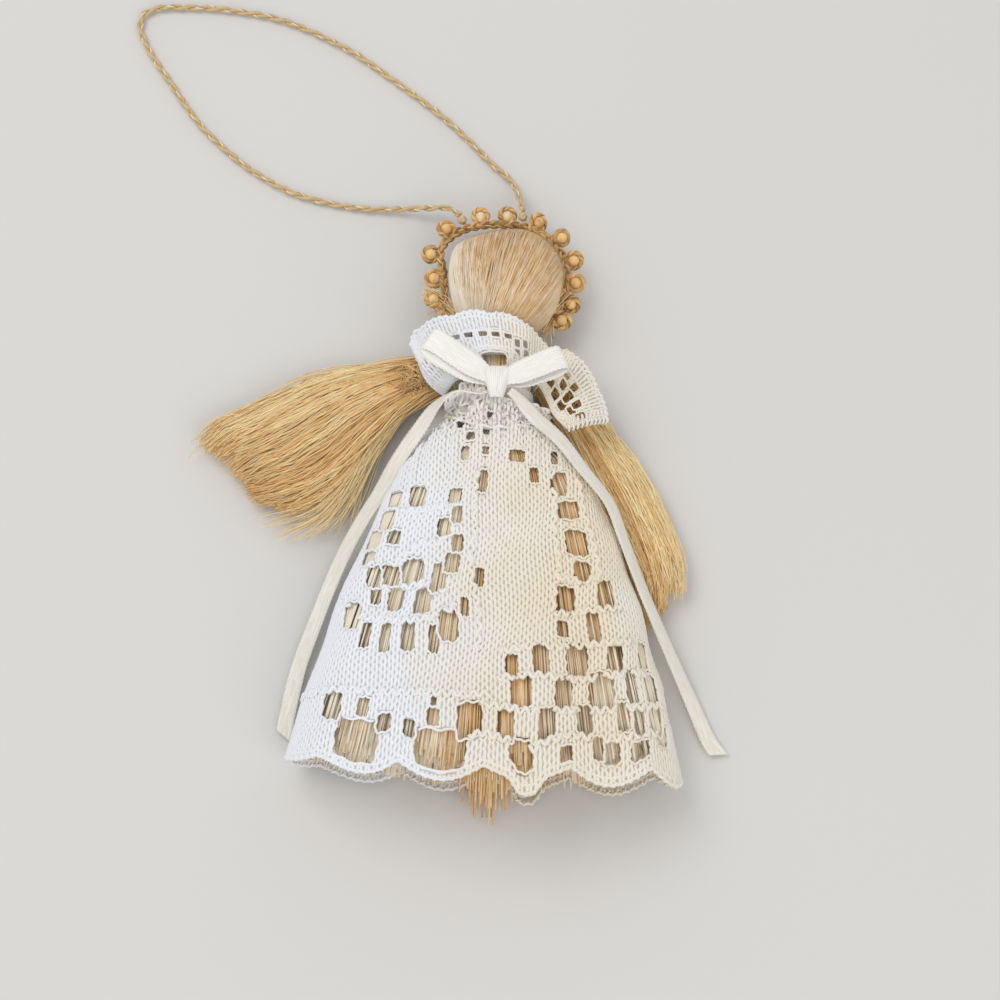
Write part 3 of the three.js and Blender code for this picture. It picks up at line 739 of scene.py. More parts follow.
# Each tail's side, how far it leans on the skirt and turns at the knot, its places from the knot, and then down the
# skirt as shares of its length, with the distance from the skirt and the height above the table
TAILS = {
    "left": (-1, 0.4, 1.1, [(-2.0, -1.6, -0.2), (-2.8, -2, -0.2), (-7.2, -1.7, -0.9), (-10.6, -3.6, -2.7)],
             [(0.035, 2, 13), (0.12, 1.9, 10.2), (0.215, 2.2, 7.2), (0.3, 3.2, 5), (0.385, 3.8, 3.5), (0.5, 4, 2.5),
              (0.615, 4, 1.9), (0.72, 4, 1.4), (0.825, 3.4, 1.1), (0.9, 2.8, 0.9), (0.945, 2.4, 0.8)]),
    "right": (1, 0.85, 0.0, [(2.3, -1.4, -0.2), (3.2, -2.1, -0.2), (6.9, -5.9, -1), (11.5, -9.5, -2.3)],
              [(0.148, -1, 14.2), (0.243, 1.2, 12.4), (0.344, 1.4, 10.4), (0.49, 2, 8.2), (0.646, 3.7, 4.6),
               (0.805, 5.8, 1.6), (0.9, 7, 0.9), (0.95, 8.4, 0.8)]),
}
TAIL_RUNS, LOOP_RUNS, KNOT_RUNS, BAND_RUNS = 20.0, 9.0, 2.0, 12.0
# How much narrower the tails and the bow's loops are where they leave the knot, and the share of them that is
TAIL_PINCH, TAIL_PINCH_END = 0.45, 0.05
LOOP_WIDTH, LOOP_PINCH, LOOP_PINCH_END = 1.46, 0.6, 0.09


def strip(line, across, half, cup, cut=0.0):
    """The shape of a ribbon: points for shares across and along it."""
    run = lengths(line)
    up = unit(np.cross(across, unit(np.gradient(line, axis=0))))

    def shape(u, w):
        side = 2 * u - 1
        at = w * run[-1] - cut * u * ramp(w, 1 - TAIL_CUT_SHARE, 1)
        mid, wide, lift = (between(at, run, values) for values in (line, across, up))
        edge = PICOT * np.sign(side) * (np.abs(side) > 0.99) * np.cos(FULL_TURN * at / RIBBON_WOVEN)
        width = np.interp(at, run, half)
        return mid + (width * side + edge)[:, None] * wide + (cup * (1 - side ** 2))[:, None] * lift

    return shape


class DOLL_OT_ribbon_tails(bpy.types.Operator):
    """The ribbon's two loose ends, lying beside the skirt"""
    bl_idname = "doll.ribbon_tails"
    bl_label = "Ribbon Tails"

    def execute(self, context):
        knot = own_middle("bow_knot")
        width, length = sizes("ribbon_width"), sizes("skirt_length")
        for name, (side, lean, twist, start, fall) in TAILS.items():
            beside = [(side * (skirt_half_width(down) + out), -length * down, z) for down, out, z in fall]
            line = evenly(bend([*(knot + start), *beside], 10), 180)
            ahead = unit(np.gradient(line, axis=0))
            level = unit(np.stack([ahead[:, 1], -ahead[:, 0], np.zeros(len(line))], -1))
            share = np.linspace(0, 1, len(line))
            roll = -side * lean * np.sin(np.pi * share) ** 0.7 + twist * bell(share, 0.05, 0.1)
            across = turned(roll, level, np.cross(ahead, level))
            half = width / 2 * (1 - TAIL_PINCH * bell(share, 0, TAIL_PINCH_END))
            shape = strip(line, across, half, TAIL_CUP, TAIL_CUT)
            mesh = grid_mesh(f"ribbon_tail_{name}_satin", 8, 360, shape)
            tail = place(f"ribbon_tail_{name}_satin", mesh, f"{name}_tail", "satin",
                         ribbon_satin(TAIL_RUNS, "satin_aged"), [f"ribbon_tail_{name}"])
            thicken(tail, sizes("ribbon_thickness"))
            path = to_frame(along(line, np.linspace(0, lengths(line)[-1] - TAIL_CUT / 2, 121)))
        return {"FINISHED"}


# Each loop's side, reach, rise in degrees, slack below its upper edge, and tilt
BOW_LOOPS = {"left": (-1, 15.0, 33.0, -1.3, 0.25), "right": (1, 12.8, 25.0, -0.9, 0.2)}
# A loop's places: how far from the knot, as a share of the reach at its far end, how high, and its share of the slack
LOOP_OUT = [(1.2, -0.3, 0.2), (4.5, -0.5, 0.6)]
LOOP_END = [(0.62, -0.5, 0.9), (0.86, -0.45, 1.0), (0.975, -0.15, 0.7), (1.0, 0.2, 0.45), (0.975, 0.55, 0.2),
            (0.86, 0.75, 0.0), (0.6, 0.7, 0.0)]
LOOP_BACK = [(4.2, 0.6, 0.0), (1.2, 0.4, 0.0)]
LOOP_HEIGHT = 17.95
# The knot's half width at its middle, how much it widens to its top, its half length and its height
KNOT_HALF_WIDTH, KNOT_WIDENS, KNOT_HALF_LENGTH, KNOT_HEIGHT = 2.1, 0.8, 3.0, 1.75
KNOT_SINK, KNOT_WALL = 0.1, 0.5
BAND_INSET, BAND_ROUND = 0.2, 0.12


def bow_knot_shape(u, w):
    side, up = 2 * u - 1, 2 * w - 1
    wide = (KNOT_HALF_WIDTH + KNOT_WIDENS * up) * (1 - 0.1 * np.abs(up) ** 3)
    dome = np.sqrt(np.maximum(0, 1 - 0.92 * np.abs(side) ** 2.6)) * (1 - 0.55 * np.abs(up) ** 3)
    fold = 0.22 * bell(side, 0.25 + 0.2 * up, 0.16) + 0.1 * bell(side, -0.5, 0.15)
    height = (KNOT_HEIGHT - fold) * dome - KNOT_SINK
    return own_middle("bow_knot") + np.stack([wide * side, KNOT_HALF_LENGTH * up, height], -1)


def neck_band_shape(u, w):
    low, high = own_box("ribbon_band")
    side, turn = 2 * u - 1, FULL_TURN * w
    half = (high - low) / 2 - BAND_INSET - BAND_ROUND * side[:, None] ** 2
    y = sizes("ribbon_width") / 2 * side
    return own_middle("ribbon_band") + np.stack([half[:, 0] * np.cos(turn), y, half[:, 2] * np.sin(turn)], -1)


class DOLL_OT_bow(bpy.types.Operator):
    """Ribbon round the neck, with the bow's loops and knot"""
    bl_idname = "doll.bow"
    bl_label = "Bow"

    def execute(self, context):
        foot = own_middle("bow_knot") * (1, 1, 0) + (0, 0, LOOP_HEIGHT)
        for name, (side, reach, rise, slack, tilt) in BOW_LOOPS.items():
            lie = math.radians(rise)
            out = np.array([side * math.cos(lie), math.sin(lie), 0.0])
            level = np.array([-side * math.sin(lie), math.cos(lie), 0.0])
            places = [*LOOP_OUT, *((reach * far, high, share) for far, high, share in LOOP_END), *LOOP_BACK]
            line = [foot + far * out + slack * share * level + (0, 0, high) for far, high, share in places]
            line = evenly(bend(line, 12), 120)
            share = np.linspace(0, 1, len(line))
            across = turned(tilt * np.sin(np.pi * share) ** 2, level, np.array(UP))
            pinch = LOOP_PINCH * (bell(share, 0, LOOP_PINCH_END) + bell(share, 1, LOOP_PINCH_END))
            half = sizes("ribbon_width") / 2 * (LOOP_WIDTH - pinch)
            mesh = grid_mesh(f"bow_loop_{name}_satin", 10, 240, strip(line, across, half, BOW_CUP))
            loop = place(f"bow_loop_{name}_satin", mesh, "doll", "satin", ribbon_satin(LOOP_RUNS),
                         [f"bow_loop_{name}"])
            thicken(loop, sizes("ribbon_thickness"))
        mesh = grid_mesh("bow_knot_satin", 36, 40, bow_knot_shape)
        piece = place("bow_knot_satin", mesh, "doll", "satin", ribbon_satin(KNOT_RUNS), ["bow_knot"])
        thicken(piece, KNOT_WALL, -1.0)
        mesh = grid_mesh("ribbon_band_satin", 8, 96, neck_band_shape, True)
        band = place("ribbon_band_satin", mesh, "doll", "satin", ribbon_satin(BAND_RUNS), ["ribbon_band"])
        thicken(band, sizes("ribbon_thickness"))
        return {"FINISHED"}


# Head and halo

# The edge over which the head's fibres fold, its left cheek, along which they bend, and their ends at the neck
HEAD_FOLD = [(-9.2, 36.0), (-6.6, 39.0), (-1.5, 40.2), (3.5, 40.0), (7.8, 37.8), (10.8, 33.8), (11.4, 30.4),
             (10.7, 27.4)]
HEAD_CHEEK = [(-5.6, 18.7), (-8.2, 23.0), (-9.6, 28.5), (-9.8, 32.5), (-9.2, 36.0)]
NECK_FEET = (-5.6, 5.8)
HEAD_LEAN = 1.3
HEAD_STEPS = 100
# Every sixth fibre lies at the back of the head
BACK_FIBRES = 6
# The head's depth at the neck, as a share of its whole depth, and how far its fibres lie under each other
NECK_DEPTH, HEAD_LAYER = 0.58, 0.9
CHEEK_WIDTH, CHEEK_TONE = 0.4, 0.6
HEAD_TONE, HEAD_TONE_SPREAD, HEAD_DARKEST = 0.52, 0.1, 0.05
WAVE_STARTS = 6.3

HALO_MIDDLE, HALO_HEIGHT = 31.36, 6.0
# The plait's bends: their directions from the halo's middle in degrees, and distances as shares of its radius
HALO_RADIUS = 10.95
BRAID_BENDS = [
    (213, 1.22), (199, 1.06), (180, 1.03), (158, 1.18), (140, 1.14), (119, 1.03), (93, 0.95), (66, 0.98),
    (34, 1.06), (8, 1.07), (341, 1.1), (317, 1.16),
]
# A plait's strands and their fibres, how far they swing aside, up and round each other, and in which lengths
BRAID_STRANDS, BRAID_FIBRES, BRAID_ASIDE, BRAID_RISE, BRAID_ROUND = 3, 6, 0.55, 0.42, 0.28
BRAID_PITCH, BRAID_TWIST = 5.4, 9.0
BRAID_FIBRE_RADIUS = 0.17
BRAID_TONE, BRAID_TONE_SPREAD = 0.3, 0.14
# The frayed ends of the plait
FRAY_FIBRES, FRAY_SPREAD, FRAY_BEND, FRAY_REACH, FRAY_WIDTH = 22, 0.28, 0.8, (1.5, 4.2), 0.55
FRAY_TONE, FRAY_TONE_SPREAD = 0.6, 0.18
# Loose straw between the halo and the head: where it starts and ends, and its number of fibres
HALO_HANKS = [((-14.4, 28.0, 5.0), (-6.8, 21.6, 6.0), 45), ((11.4, 28.0, 7.0), (5.6, 19.5, 8.0), 14)]
HANK_SPREAD, HANK_BEND, HANK_WIDTH = 0.6, 0.8, 0.5
HANK_TONE, HANK_TONE_SPREAD = 0.82, 0.18
# Where the curls stand along the plait, as shares of it, and which of them stand upright
CURL_PLACES = [0.03, 0.12, 0.21, 0.295, 0.41, 0.5, 0.6, 0.69, 0.77, 0.845, 0.92, 0.985]
UPRIGHT_CURLS = (4, 5)
CURL_RADIUS, CURL_FIBRES, CURL_ROUND, CURL_TWIST, CURL_FIBRE_RADIUS = 1.45, 5, 0.3, 2.6, 0.2
CURL_TONE, CURL_TONE_SPREAD = 0.32, 0.15
CURL_FEET = [(1.5, 0.5, 0.0), (1.5, -0.5, 0.0)]
CURL_OPENING = 0.5
# How far a leaning and an upright curl stand out, their ball's half length, half width and place, and its tone
LEANING_CURL = (1.75, 0.86, 0.86, 0.0, 0.56)
UPRIGHT_CURL = (1.9, 0.85, 0.62, 0.35, 0.78)
CURL_LEAN = (0.15, 0.8)
BALL_WIND, BALL_LIFT, BALL_WIDTH, BALL_TONE_SPREAD = 4, 0.1, 1.2, 0.1


def wave_start(rng):
    return rng.uniform(0, WAVE_STARTS)


class DOLL_OT_head(bpy.types.Operator):
    """Fine fibres folded over the head's cotton ball"""
    bl_idname = "doll.head"
    bl_label = "Head"

    def execute(self, context):
        rng = np.random.default_rng(11)
        low, high = own_box("head_fibre")
        middle, deep = (low[2] + high[2]) / 2, (high[2] - low[2]) / 2
        fold, cheek = (evenly(bend([(*point, 0.0) for point in edge], 8), HEAD_STEPS)
                       for edge in (HEAD_FOLD, HEAD_CHEEK))
        share = np.linspace(0, 1, 9)
        side = along(cheek, share * lengths(cheek)[-1])
        rounding = NECK_DEPTH + (1 - NECK_DEPTH) * np.sin(np.pi / 2 * np.minimum(1, share / 0.6))
        rounding = rounding * np.sqrt(1 - share ** 5)
        threads = []
        for k in range(counts("head_strands")):
            round_head = math.pi * rng.uniform(0, 1)
            part = 0.5 - 0.5 * math.cos(round_head)
            foot = np.array([np.interp(part ** HEAD_LEAN, (0, 1), NECK_FEET), low[1], 0.0])
            line = foot + share[:, None] * (fold[int(HEAD_STEPS * part ** (1 / HEAD_LEAN))] - foot)
            line = line + max(0, 1 - part / CHEEK_WIDTH) ** 1.5 * (side - line)
            sway = 0.45 * np.sin(share * rng.uniform(2, 6) + wave_start(rng)) + 0.8 * part
            line[:, 0] += sway * np.sin(np.pi * share)
            dome = rounding * math.sin(round_head)
            line[:, 2] = middle + (deep - rng.uniform(0, HEAD_LAYER)) * dome * (1 if k % BACK_FIBRES else -1)
            tone = rng.normal(HEAD_TONE, HEAD_TONE_SPREAD) + CHEEK_TONE * bell(part, 0, 0.15)
            tone = tone + 0.15 * np.sin(np.pi * share) * part
            tone = tone + 0.4 * bell(share, 0, 0.4) * bell(part, 0, 0.45)
            threads.append(shaded(line, rng.uniform(0.7, 1.15), tone, HEAD_DARKEST))
        place_threads("head_strands", threads, sizes("hair_radius"), 4, "doll", "blond_fibre", head_straw(),
                      ["head_fibre"])
        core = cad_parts["head_core"]
        core.data.materials.clear()
        core.data.materials.append(pressed_cotton())
        return {"FINISHED"}


def braid_threads(route, out, rng):
    """The fibres of a plait along a route. out points away from the halo's middle."""
    half = sizes("braid_width") / 2
    threads = []
    for strand in range(BRAID_STRANDS):
        turn = FULL_TURN * (lengths(route) / BRAID_PITCH + strand / BRAID_STRANDS)
        core = route + (BRAID_ASIDE * half * np.sin(turn))[:, None] * out
        core[:, 2] += BRAID_RISE * half * np.sin(2 * turn)
        for fibre in range(BRAID_FIBRES):
            line = wound(core, BRAID_ROUND * half, BRAID_TWIST, fibre * FULL_TURN / BRAID_FIBRES)
            threads.append(shaded(line, rng.uniform(0.8, 1.1), rng.normal(BRAID_TONE, BRAID_TONE_SPREAD)))
    return threads


def frayed_threads(end, ahead, rng):
    """Loose fibres at an end of the plait."""
    threads = []
    share = np.linspace(0, 1, 6)[:, None]
    for _ in range(FRAY_FIBRES):
        go = ahead + rng.normal(0, FRAY_SPREAD, 3) * (1, 1, 0.4)
        start = end + rng.normal(0, 0.3, 3)
        reach = rng.uniform(*FRAY_REACH)
        line = start + share * reach * go + share ** 2 * rng.normal(0, FRAY_BEND, 3) * (1, 1, 0.3)
        threads.append(shaded(line, FRAY_WIDTH, rng.normal(FRAY_TONE, FRAY_TONE_SPREAD)))
    return threads


def hank_threads(start, stop, number, rng):
    threads = []
    for _ in range(number):
        ends = np.array([start, stop]) + rng.normal(0, HANK_SPREAD, (2, 3)) * (1, 1, 0.5)
        middle = ends.mean(axis=0) + rng.normal(0, HANK_BEND, 3) * (1, 1, 0.6)
        line = evenly(bend([ends[0], middle, ends[1]], 4), 6)
        threads.append(shaded(line, HANK_WIDTH, rng.normal(HANK_TONE, HANK_TONE_SPREAD)))
    return threads


def curl_threads(foot, out, upright, rng):
    """A curled loop of straw that stands out from the plait, round a wound ball."""
    stand, long, wide, at, tone = UPRIGHT_CURL if upright else LEANING_CURL
    lean = 0.0 if upright else rng.choice([-1, 1]) * rng.uniform(*CURL_LEAN)
    turn = np.linspace(CURL_OPENING, FULL_TURN - CURL_OPENING, 40)
    arch = np.stack([np.cos(turn), np.sin(turn) * math.cos(lean), np.sin(turn) * math.sin(lean)], -1)
    arch = evenly(bend([CURL_FEET[0], *arch[::4], CURL_FEET[1]], 6), 60)
    arch = CURL_RADIUS * rng.uniform(0.92, 1.08) * arch
    starts = FULL_TURN / CURL_FIBRES * np.arange(CURL_FIBRES)
    threads = []
    for start in starts:
        line = wound(arch, CURL_ROUND, CURL_TWIST, start)
        threads.append(shaded(line, rng.uniform(0.85, 1.1), rng.normal(CURL_TONE, CURL_TONE_SPREAD)))
    lie = np.linspace(0.1, np.pi - 0.1, 50)
    for start in starts:
        ball = on_ball(lie, BALL_WIND * lie + start) * (long, wide, wide)
        ball = ball @ np.array(Matrix.Rotation(-lean, 3, "X")) + (at, 0, BALL_LIFT)
        threads.append(shaded(ball, BALL_WIDTH, rng.normal(tone, BALL_TONE_SPREAD)))
    inward = np.array(Matrix.Rotation(math.atan2(-out[1], -out[0]), 3, "Z")).T
    return [thread(foot + stand * out + line @ inward, width, tone) for line, width, tone in threads]


class DOLL_OT_halo(bpy.types.Operator):
    """Plait round the head with curled loops on its outer edge"""
    bl_idname = "doll.halo"
    bl_label = "Halo"

    def execute(self, context):
        rng = np.random.default_rng(5)
        bends = []
        for degrees, far in BRAID_BENDS:
            turn, reach = math.radians(degrees), HALO_RADIUS * far
            bends.append((reach * math.cos(turn), HALO_MIDDLE + reach * math.sin(turn), HALO_HEIGHT))
        route = evenly(bend(bends, 16), 260)
        ahead, _, _ = directions(route)
        out = unit(np.stack([-ahead[:, 1], ahead[:, 0], np.zeros(len(route))], -1))
        threads = braid_threads(route, out, rng)
        threads += frayed_threads(route[0], -ahead[0], rng)
        threads += frayed_threads(route[-1], ahead[-1], rng)
        for start, stop, number in HALO_HANKS:
            threads += hank_threads(start, stop, number, rng)
        place_threads("halo_plait", threads, BRAID_FIBRE_RADIUS, 4, "doll", "straw", wing_straw(),
                      ["halo_braid"])
        for i, share in enumerate(CURL_PLACES):
            at = int(round(share * (len(route) - 1)))
            name = f"halo_curl_{i + 1:02d}"
            threads = curl_threads(route[at], out[at], i in UPRIGHT_CURLS, rng)
            place_threads(f"{name}_wound", threads, CURL_FIBRE_RADIUS, 4, "doll", "straw", wing_straw(),
                          [name])
        return {"FINISHED"}


# Body and wings

# Tones of the body's fibres for their places across the hem: orange-brown straw in the middle, and paler towards the
# sides as painted light that comes through the thin lace
BODY_TONES = ([-26, -15, -8, -3, 5, 13, 26], [1.0, 1.0, 0.9, 0.56, 0.6, 0.9, 0.95])
# On the right the fibres are browner from the waist to this far below it
BROWN_SIDE, BROWN_FADES, BROWN_END, BROWN_SHADE = 4.0, 36.0, 46.0, 0.45
# The neck's places along the doll, with its half widths and half depths there
NECK_PLACES = [(18.2, 5.0, 4.8), (8.0, 5.7, 5.5), (0.5, 5.7, 5.5)]
# Every fourth fibre lies at the sides
EDGE_FIBRES, EDGE_SPREAD = 4, 0.3
# How deep under the skirt the fibres lie, how much narrower they are and how loose, at the sides and elsewhere
EDGE_INSET, EDGE_NARROW, EDGE_LOOSE = 0.45, 1.0, 0.1
BODY_INSET, BODY_NARROW, BODY_LOOSE = (0.7, 1.9), 0.95, 0.3
# How far the back of the dress lies above the table, and the fibres above it
BACK_INSET, BACK_FIBRE_INSET = 0.5, 1.0
# Where fibre ends show below the hem, as shares of its half width, and how far
FRINGE_MIDDLE, FRINGE_WIDTH, FRINGE_FALL = 0.03, 0.13, 0.1
BODY_FALLS, CORE_FALLS = (0.12, 0.35, 0.65, 1.0), (0.03, 0.2, 0.45, 0.75, 1.0)
CORE_INSET, CORE_NARROW, CORE_SHADE = (1.5, 2.6), 0.94, 0.95
BODY_FIBRE_RADIUS, CORE_FIBRE_RADIUS, BODY_TONE_SPREAD = 0.17, 0.55, 0.1
BINDING_TURNS, BINDING_RADIUS, BINDING_INSET, BINDING_MARGIN = 8, 0.34, 0.35, 0.3


def body_tone(line):
    """Tones along a fibre of the body: by where it ends at the hem, and browner above that on the right."""
    brown = (line[:, 0] > BROWN_SIDE) * ramp(line[:, 1], -BROWN_END, -BROWN_FADES)
    return np.interp(line[-1][0], *BODY_TONES) - BROWN_SHADE * brown


def body_threads(rng):
    """Fibres that run from the neck through the waist and fan out to the hem."""
    threads = []
    for k in range(counts("body_strands")):
        edge = k % EDGE_FIBRES == 0
        if edge:
            turn = rng.choice([0.0, np.pi]) + rng.normal(0, EDGE_SPREAD)
            out, inset, narrow, loose = 1.0, EDGE_INSET, EDGE_NARROW, EDGE_LOOSE
        else:
            turn = rng.uniform(0, FULL_TURN)
            out = rng.uniform(0.6, 1) ** 0.5
            inset, narrow, loose = rng.uniform(*BODY_INSET), BODY_NARROW, BODY_LOOSE
        across, rise = math.cos(turn), math.sin(turn)
        if rise < 0:
            inset += BACK_FIBRE_INSET
        stop = rng.uniform(0.9, 0.985) + FRINGE_FALL * bell(across, FRINGE_MIDDLE, FRINGE_WIDTH)
        line = [(out * wide * across, y, BODY_HEIGHT + out * deep * rise) for y, wide, deep in NECK_PLACES]
        for down in BODY_FALLS:
            point = skirt_point(turn, down * stop, inset, narrow)
            line.append(point + rng.normal(0, loose * down, 3) * (1, 0.3, 0.5))
        line = bend(line, 2)
        tone = rng.normal(0, BODY_TONE_SPREAD) + body_tone(line) + 0.2 * edge
        tone = tone + 0.1 * np.sin(np.linspace(0, 4, len(line)))
        threads.append(shaded(line, rng.uniform(0.7, 1.2), tone))
    return threads


def core_threads(rng):
    """Coarse fibres under the others, which close the gaps between them."""
    threads = []
    number = counts("core_strands")
    for k in range(number):
        turn = FULL_TURN * k / number + rng.normal(0, 0.02)
        deep, stop = rng.uniform(*CORE_INSET), rng.uniform(0.9, 0.97)
        line = bend([skirt_point(turn, down * stop, deep, CORE_NARROW) for down in CORE_FALLS], 2)
        tone = rng.normal(0, BODY_TONE_SPREAD) + CORE_SHADE * body_tone(line)
        threads.append(shaded(line, np.linspace(0.45, 1, len(line)), tone))
    return threads


class DOLL_OT_body(bpy.types.Operator):
    """Straw of the neck that fans out under the skirt, and its binding"""
    bl_idname = "doll.body"
    bl_label = "Body"

    def execute(self, context):
        rng = np.random.default_rng(17)
        place_threads("body_strands", body_threads(rng), BODY_FIBRE_RADIUS, 4, "doll", "straw", body_straw(),
                      ["body_fibre"])
        place_threads("body_core", core_threads(rng), CORE_FIBRE_RADIUS, 4, "doll", "straw", body_straw())

        low, high = own_box("neck_binding")
        half = (high - low) / 2 - BINDING_INSET
        turn = np.linspace(0, FULL_TURN * BINDING_TURNS, 330)
        y = np.interp(turn, (0, turn[-1]), (low[1] + BINDING_MARGIN, high[1] - BINDING_MARGIN))
        line = np.stack([half[0] * np.cos(turn), y, BODY_HEIGHT + half[2] * np.sin(turn)], -1)
        place_threads("neck_binding_thread", [thread(line)], BINDING_RADIUS, 6, "doll", "cotton", tie_thread(),
                      ["neck_binding"])
        return {"FINISHED"}


# The edges of each wing from its root to its cut end, its share of the broad wing's fibres, how much paler they are,
# and how many of its loose hairs stand at its upper edge
WINGS = {
    "left": ([(-6.6, 16.4), (-16.2, 14.3), (-23.4, 12.9), (-31.2, 11.3), (-38.6, 8.3), (-45.2, 4.5), (-51.5, 0.6),
              (-55.2, -4.4)],
             [(-4.6, 12.4), (-13.4, 7.2), (-17.7, 4.1), (-22.6, -1.9), (-27.3, -8.6), (-33.7, -13.8), (-43.0, -16.2)],
             1.0, 0.0, 0.12),
    "right": ([(8.0, 16.6), (12.6, 12.2), (17.2, 7.0), (21.2, 1.3), (27.2, -6.8), (31.8, -15.9), (34.4, -24.4),
               (34.2, -29.5)],
              [(4.4, 14.2), (7.2, 9.4), (11.2, 3.1), (13.9, -1.1), (20.1, -13.9), (25.4, -24.8), (28.6, -36.0)],
              0.67, 0.14, 0.6),
}
WING_HEIGHT, WING_HALF_DEPTH, WING_SWELL = 3.1, 2.0, 0.6
WING_STEPS = 60
# Locks of fibres: how many, how they differ in tone, where they stop, and how far fibres are drawn into them
LOCKS, LOCK_HUES, LOCK_STOPS, LOCK_DRAW = 34, 0.11, (0.9, 1.0), 0.22
CRIMP_LENGTH, CRIMP_DEPTH, WING_SWAY = 8.0, 0.34, 0.9
WING_TONE, WING_TONE_SPREAD, WING_DARKEST = 0.66, 0.11, 0.03
# The brown shade near a wing's root: how deep it is, and where it lies along the wing and across it
ROOT_SHADE, ROOT_OUT, ROOT_LENGTH, ROOT_LOW, ROOT_WIDTH = 0.95, 0.15, 0.1, 0.42, 0.34
END_SHADE, END_START = 0.1, 0.93
HAIRS, HAIR_WIDTH, HAIR_TONE, HAIR_TONE_SPREAD = 160, 0.5, 0.95, 0.1
TANGLES, TANGLE_WIDTH, TANGLE_TONE, TANGLE_TONE_SPREAD = 200, 0.75, 0.36, 0.15
TANGLE_LOW_STEP, TANGLE_OUT_STEP = 0.09, 0.011
TIE_TURNS, TIE_RADIUS, TIE_PLACE = 4, 0.3, (0.06, 0.1)
TIE_HALF_WIDTH, TIE_HALF_DEPTH = 0.62, 1.2


def wing_spot(edges, low, out, deep, aside=0.0):
    """A place in a wing: its shares from the upper edge to the lower one and from the root to the end."""
    low, out, deep, aside = np.broadcast_arrays(low, out, deep, aside)
    past = np.maximum(0, out - 1)[:, None] * WING_STEPS
    upper, lower = (between(out * WING_STEPS, np.arange(WING_STEPS + 1), edge) + past * (edge[-1] - edge[-2])
                    for edge in edges)
    depth = (WING_HALF_DEPTH + WING_SWELL * np.sin(np.pi * np.clip(out, 0, 1))) * deep
    middle = upper * (1 - low)[:, None] + lower * low[:, None]
    return middle + aside[:, None] * unit(upper - lower) + depth[:, None] * UP


def half_round(low):
    """A wing's depth at a share of its width."""
    return np.sqrt(1 - (2 * low - 1) ** 2)


def wing_fibres(edges, number, bleach, rng):
    """Combed fibres from the root to the cut end, drawn together into locks."""
    reach = lengths((edges[0] + edges[1]) / 2)[-1]
    locks = np.sort(rng.uniform(0.02, 0.98, LOCKS))
    hues = rng.normal(0, LOCK_HUES, LOCKS)
    beats = rng.uniform(0, FULL_TURN, LOCKS)
    stops = rng.uniform(*LOCK_STOPS, LOCKS)
    threads = []
    for _ in range(number):
        low = rng.uniform(0.01, 0.99)
        lock = int(np.argmin(np.abs(locks - low - rng.normal(0, 0.02))))
        deep = rng.uniform(-0.95, 0.95) * half_round(low)
        out = np.linspace(0, stops[lock] * rng.uniform(0.88, 1.0) ** 0.6, 12)
        drawn = low + (locks[lock] - low) * LOCK_DRAW * np.sin(np.pi * np.minimum(1, out)) ** 2
        drawn = drawn + rng.normal(0, 0.07) * np.sin(np.pi * out + rng.uniform(0, 1.5)) ** 2
        beat = FULL_TURN * out * reach / CRIMP_LENGTH + beats[lock] + rng.normal(0, 0.9)
        aside = CRIMP_DEPTH * np.sqrt(out) * np.sin(beat)
        aside = aside + WING_SWAY * out * np.sin(out * rng.uniform(3, 9) + wave_start(rng))
        tone = rng.normal(WING_TONE, WING_TONE_SPREAD) + hues[lock] + bleach
        tone = tone + 0.4 * (0.4 - low) + 0.5 * max(0, low - 0.8) + 0.1 * np.sin(np.pi * out)
        tone = tone - ROOT_SHADE * bell(out, ROOT_OUT, ROOT_LENGTH) * bell(low, ROOT_LOW, ROOT_WIDTH)
        tone = tone - END_SHADE * (out > END_START)
        line = wing_spot(edges, drawn, out, deep, aside)
        threads.append(shaded(line, rng.uniform(0.7, 1.2) * np.linspace(1, 0.8, 12), tone, WING_DARKEST))
    return threads


def wing_hairs(edges, number, above, rng):
    """Loose hairs that leave the wing's edges."""
    threads = []
    for _ in range(number):
        low = 0.04 if rng.uniform(0, 1) < above else 0.98
        out = np.linspace(rng.uniform(0.15, 0.5), rng.uniform(0.7, 1.04), 10)
        away = np.linspace(0, 1, 10) ** 1.5 * (rng.uniform(0.2, 1.6) if low < 0.5 else -rng.uniform(0.4, 8.5))
        away = away + 0.4 * np.sin(out * rng.uniform(5, 12) + wave_start(rng))
        line = wing_spot(edges, low, out, rng.uniform(-0.5, 0.5), away)
        threads.append(shaded(line, HAIR_WIDTH, rng.normal(HAIR_TONE, HAIR_TONE_SPREAD)))
    return threads


def wing_tangles(edges, number, rng):
    """Short curls of straw on the wing's root."""
    threads = []
    for _ in range(number):
        turn = wave_start(rng) + np.linspace(0, rng.normal(0, 3.5), 8)
        low = rng.normal(ROOT_LOW, 0.18) + TANGLE_LOW_STEP * np.cumsum(np.cos(turn))
        low = np.clip(low, 0.05, 0.95)
        out = rng.uniform(0.1, 0.25) + TANGLE_OUT_STEP * np.cumsum(np.sin(turn))
        line = wing_spot(edges, low, out, rng.uniform(0.9, 1.15) * half_round(low))
        threads.append(shaded(line, TANGLE_WIDTH, rng.normal(TANGLE_TONE, TANGLE_TONE_SPREAD)))
    return threads


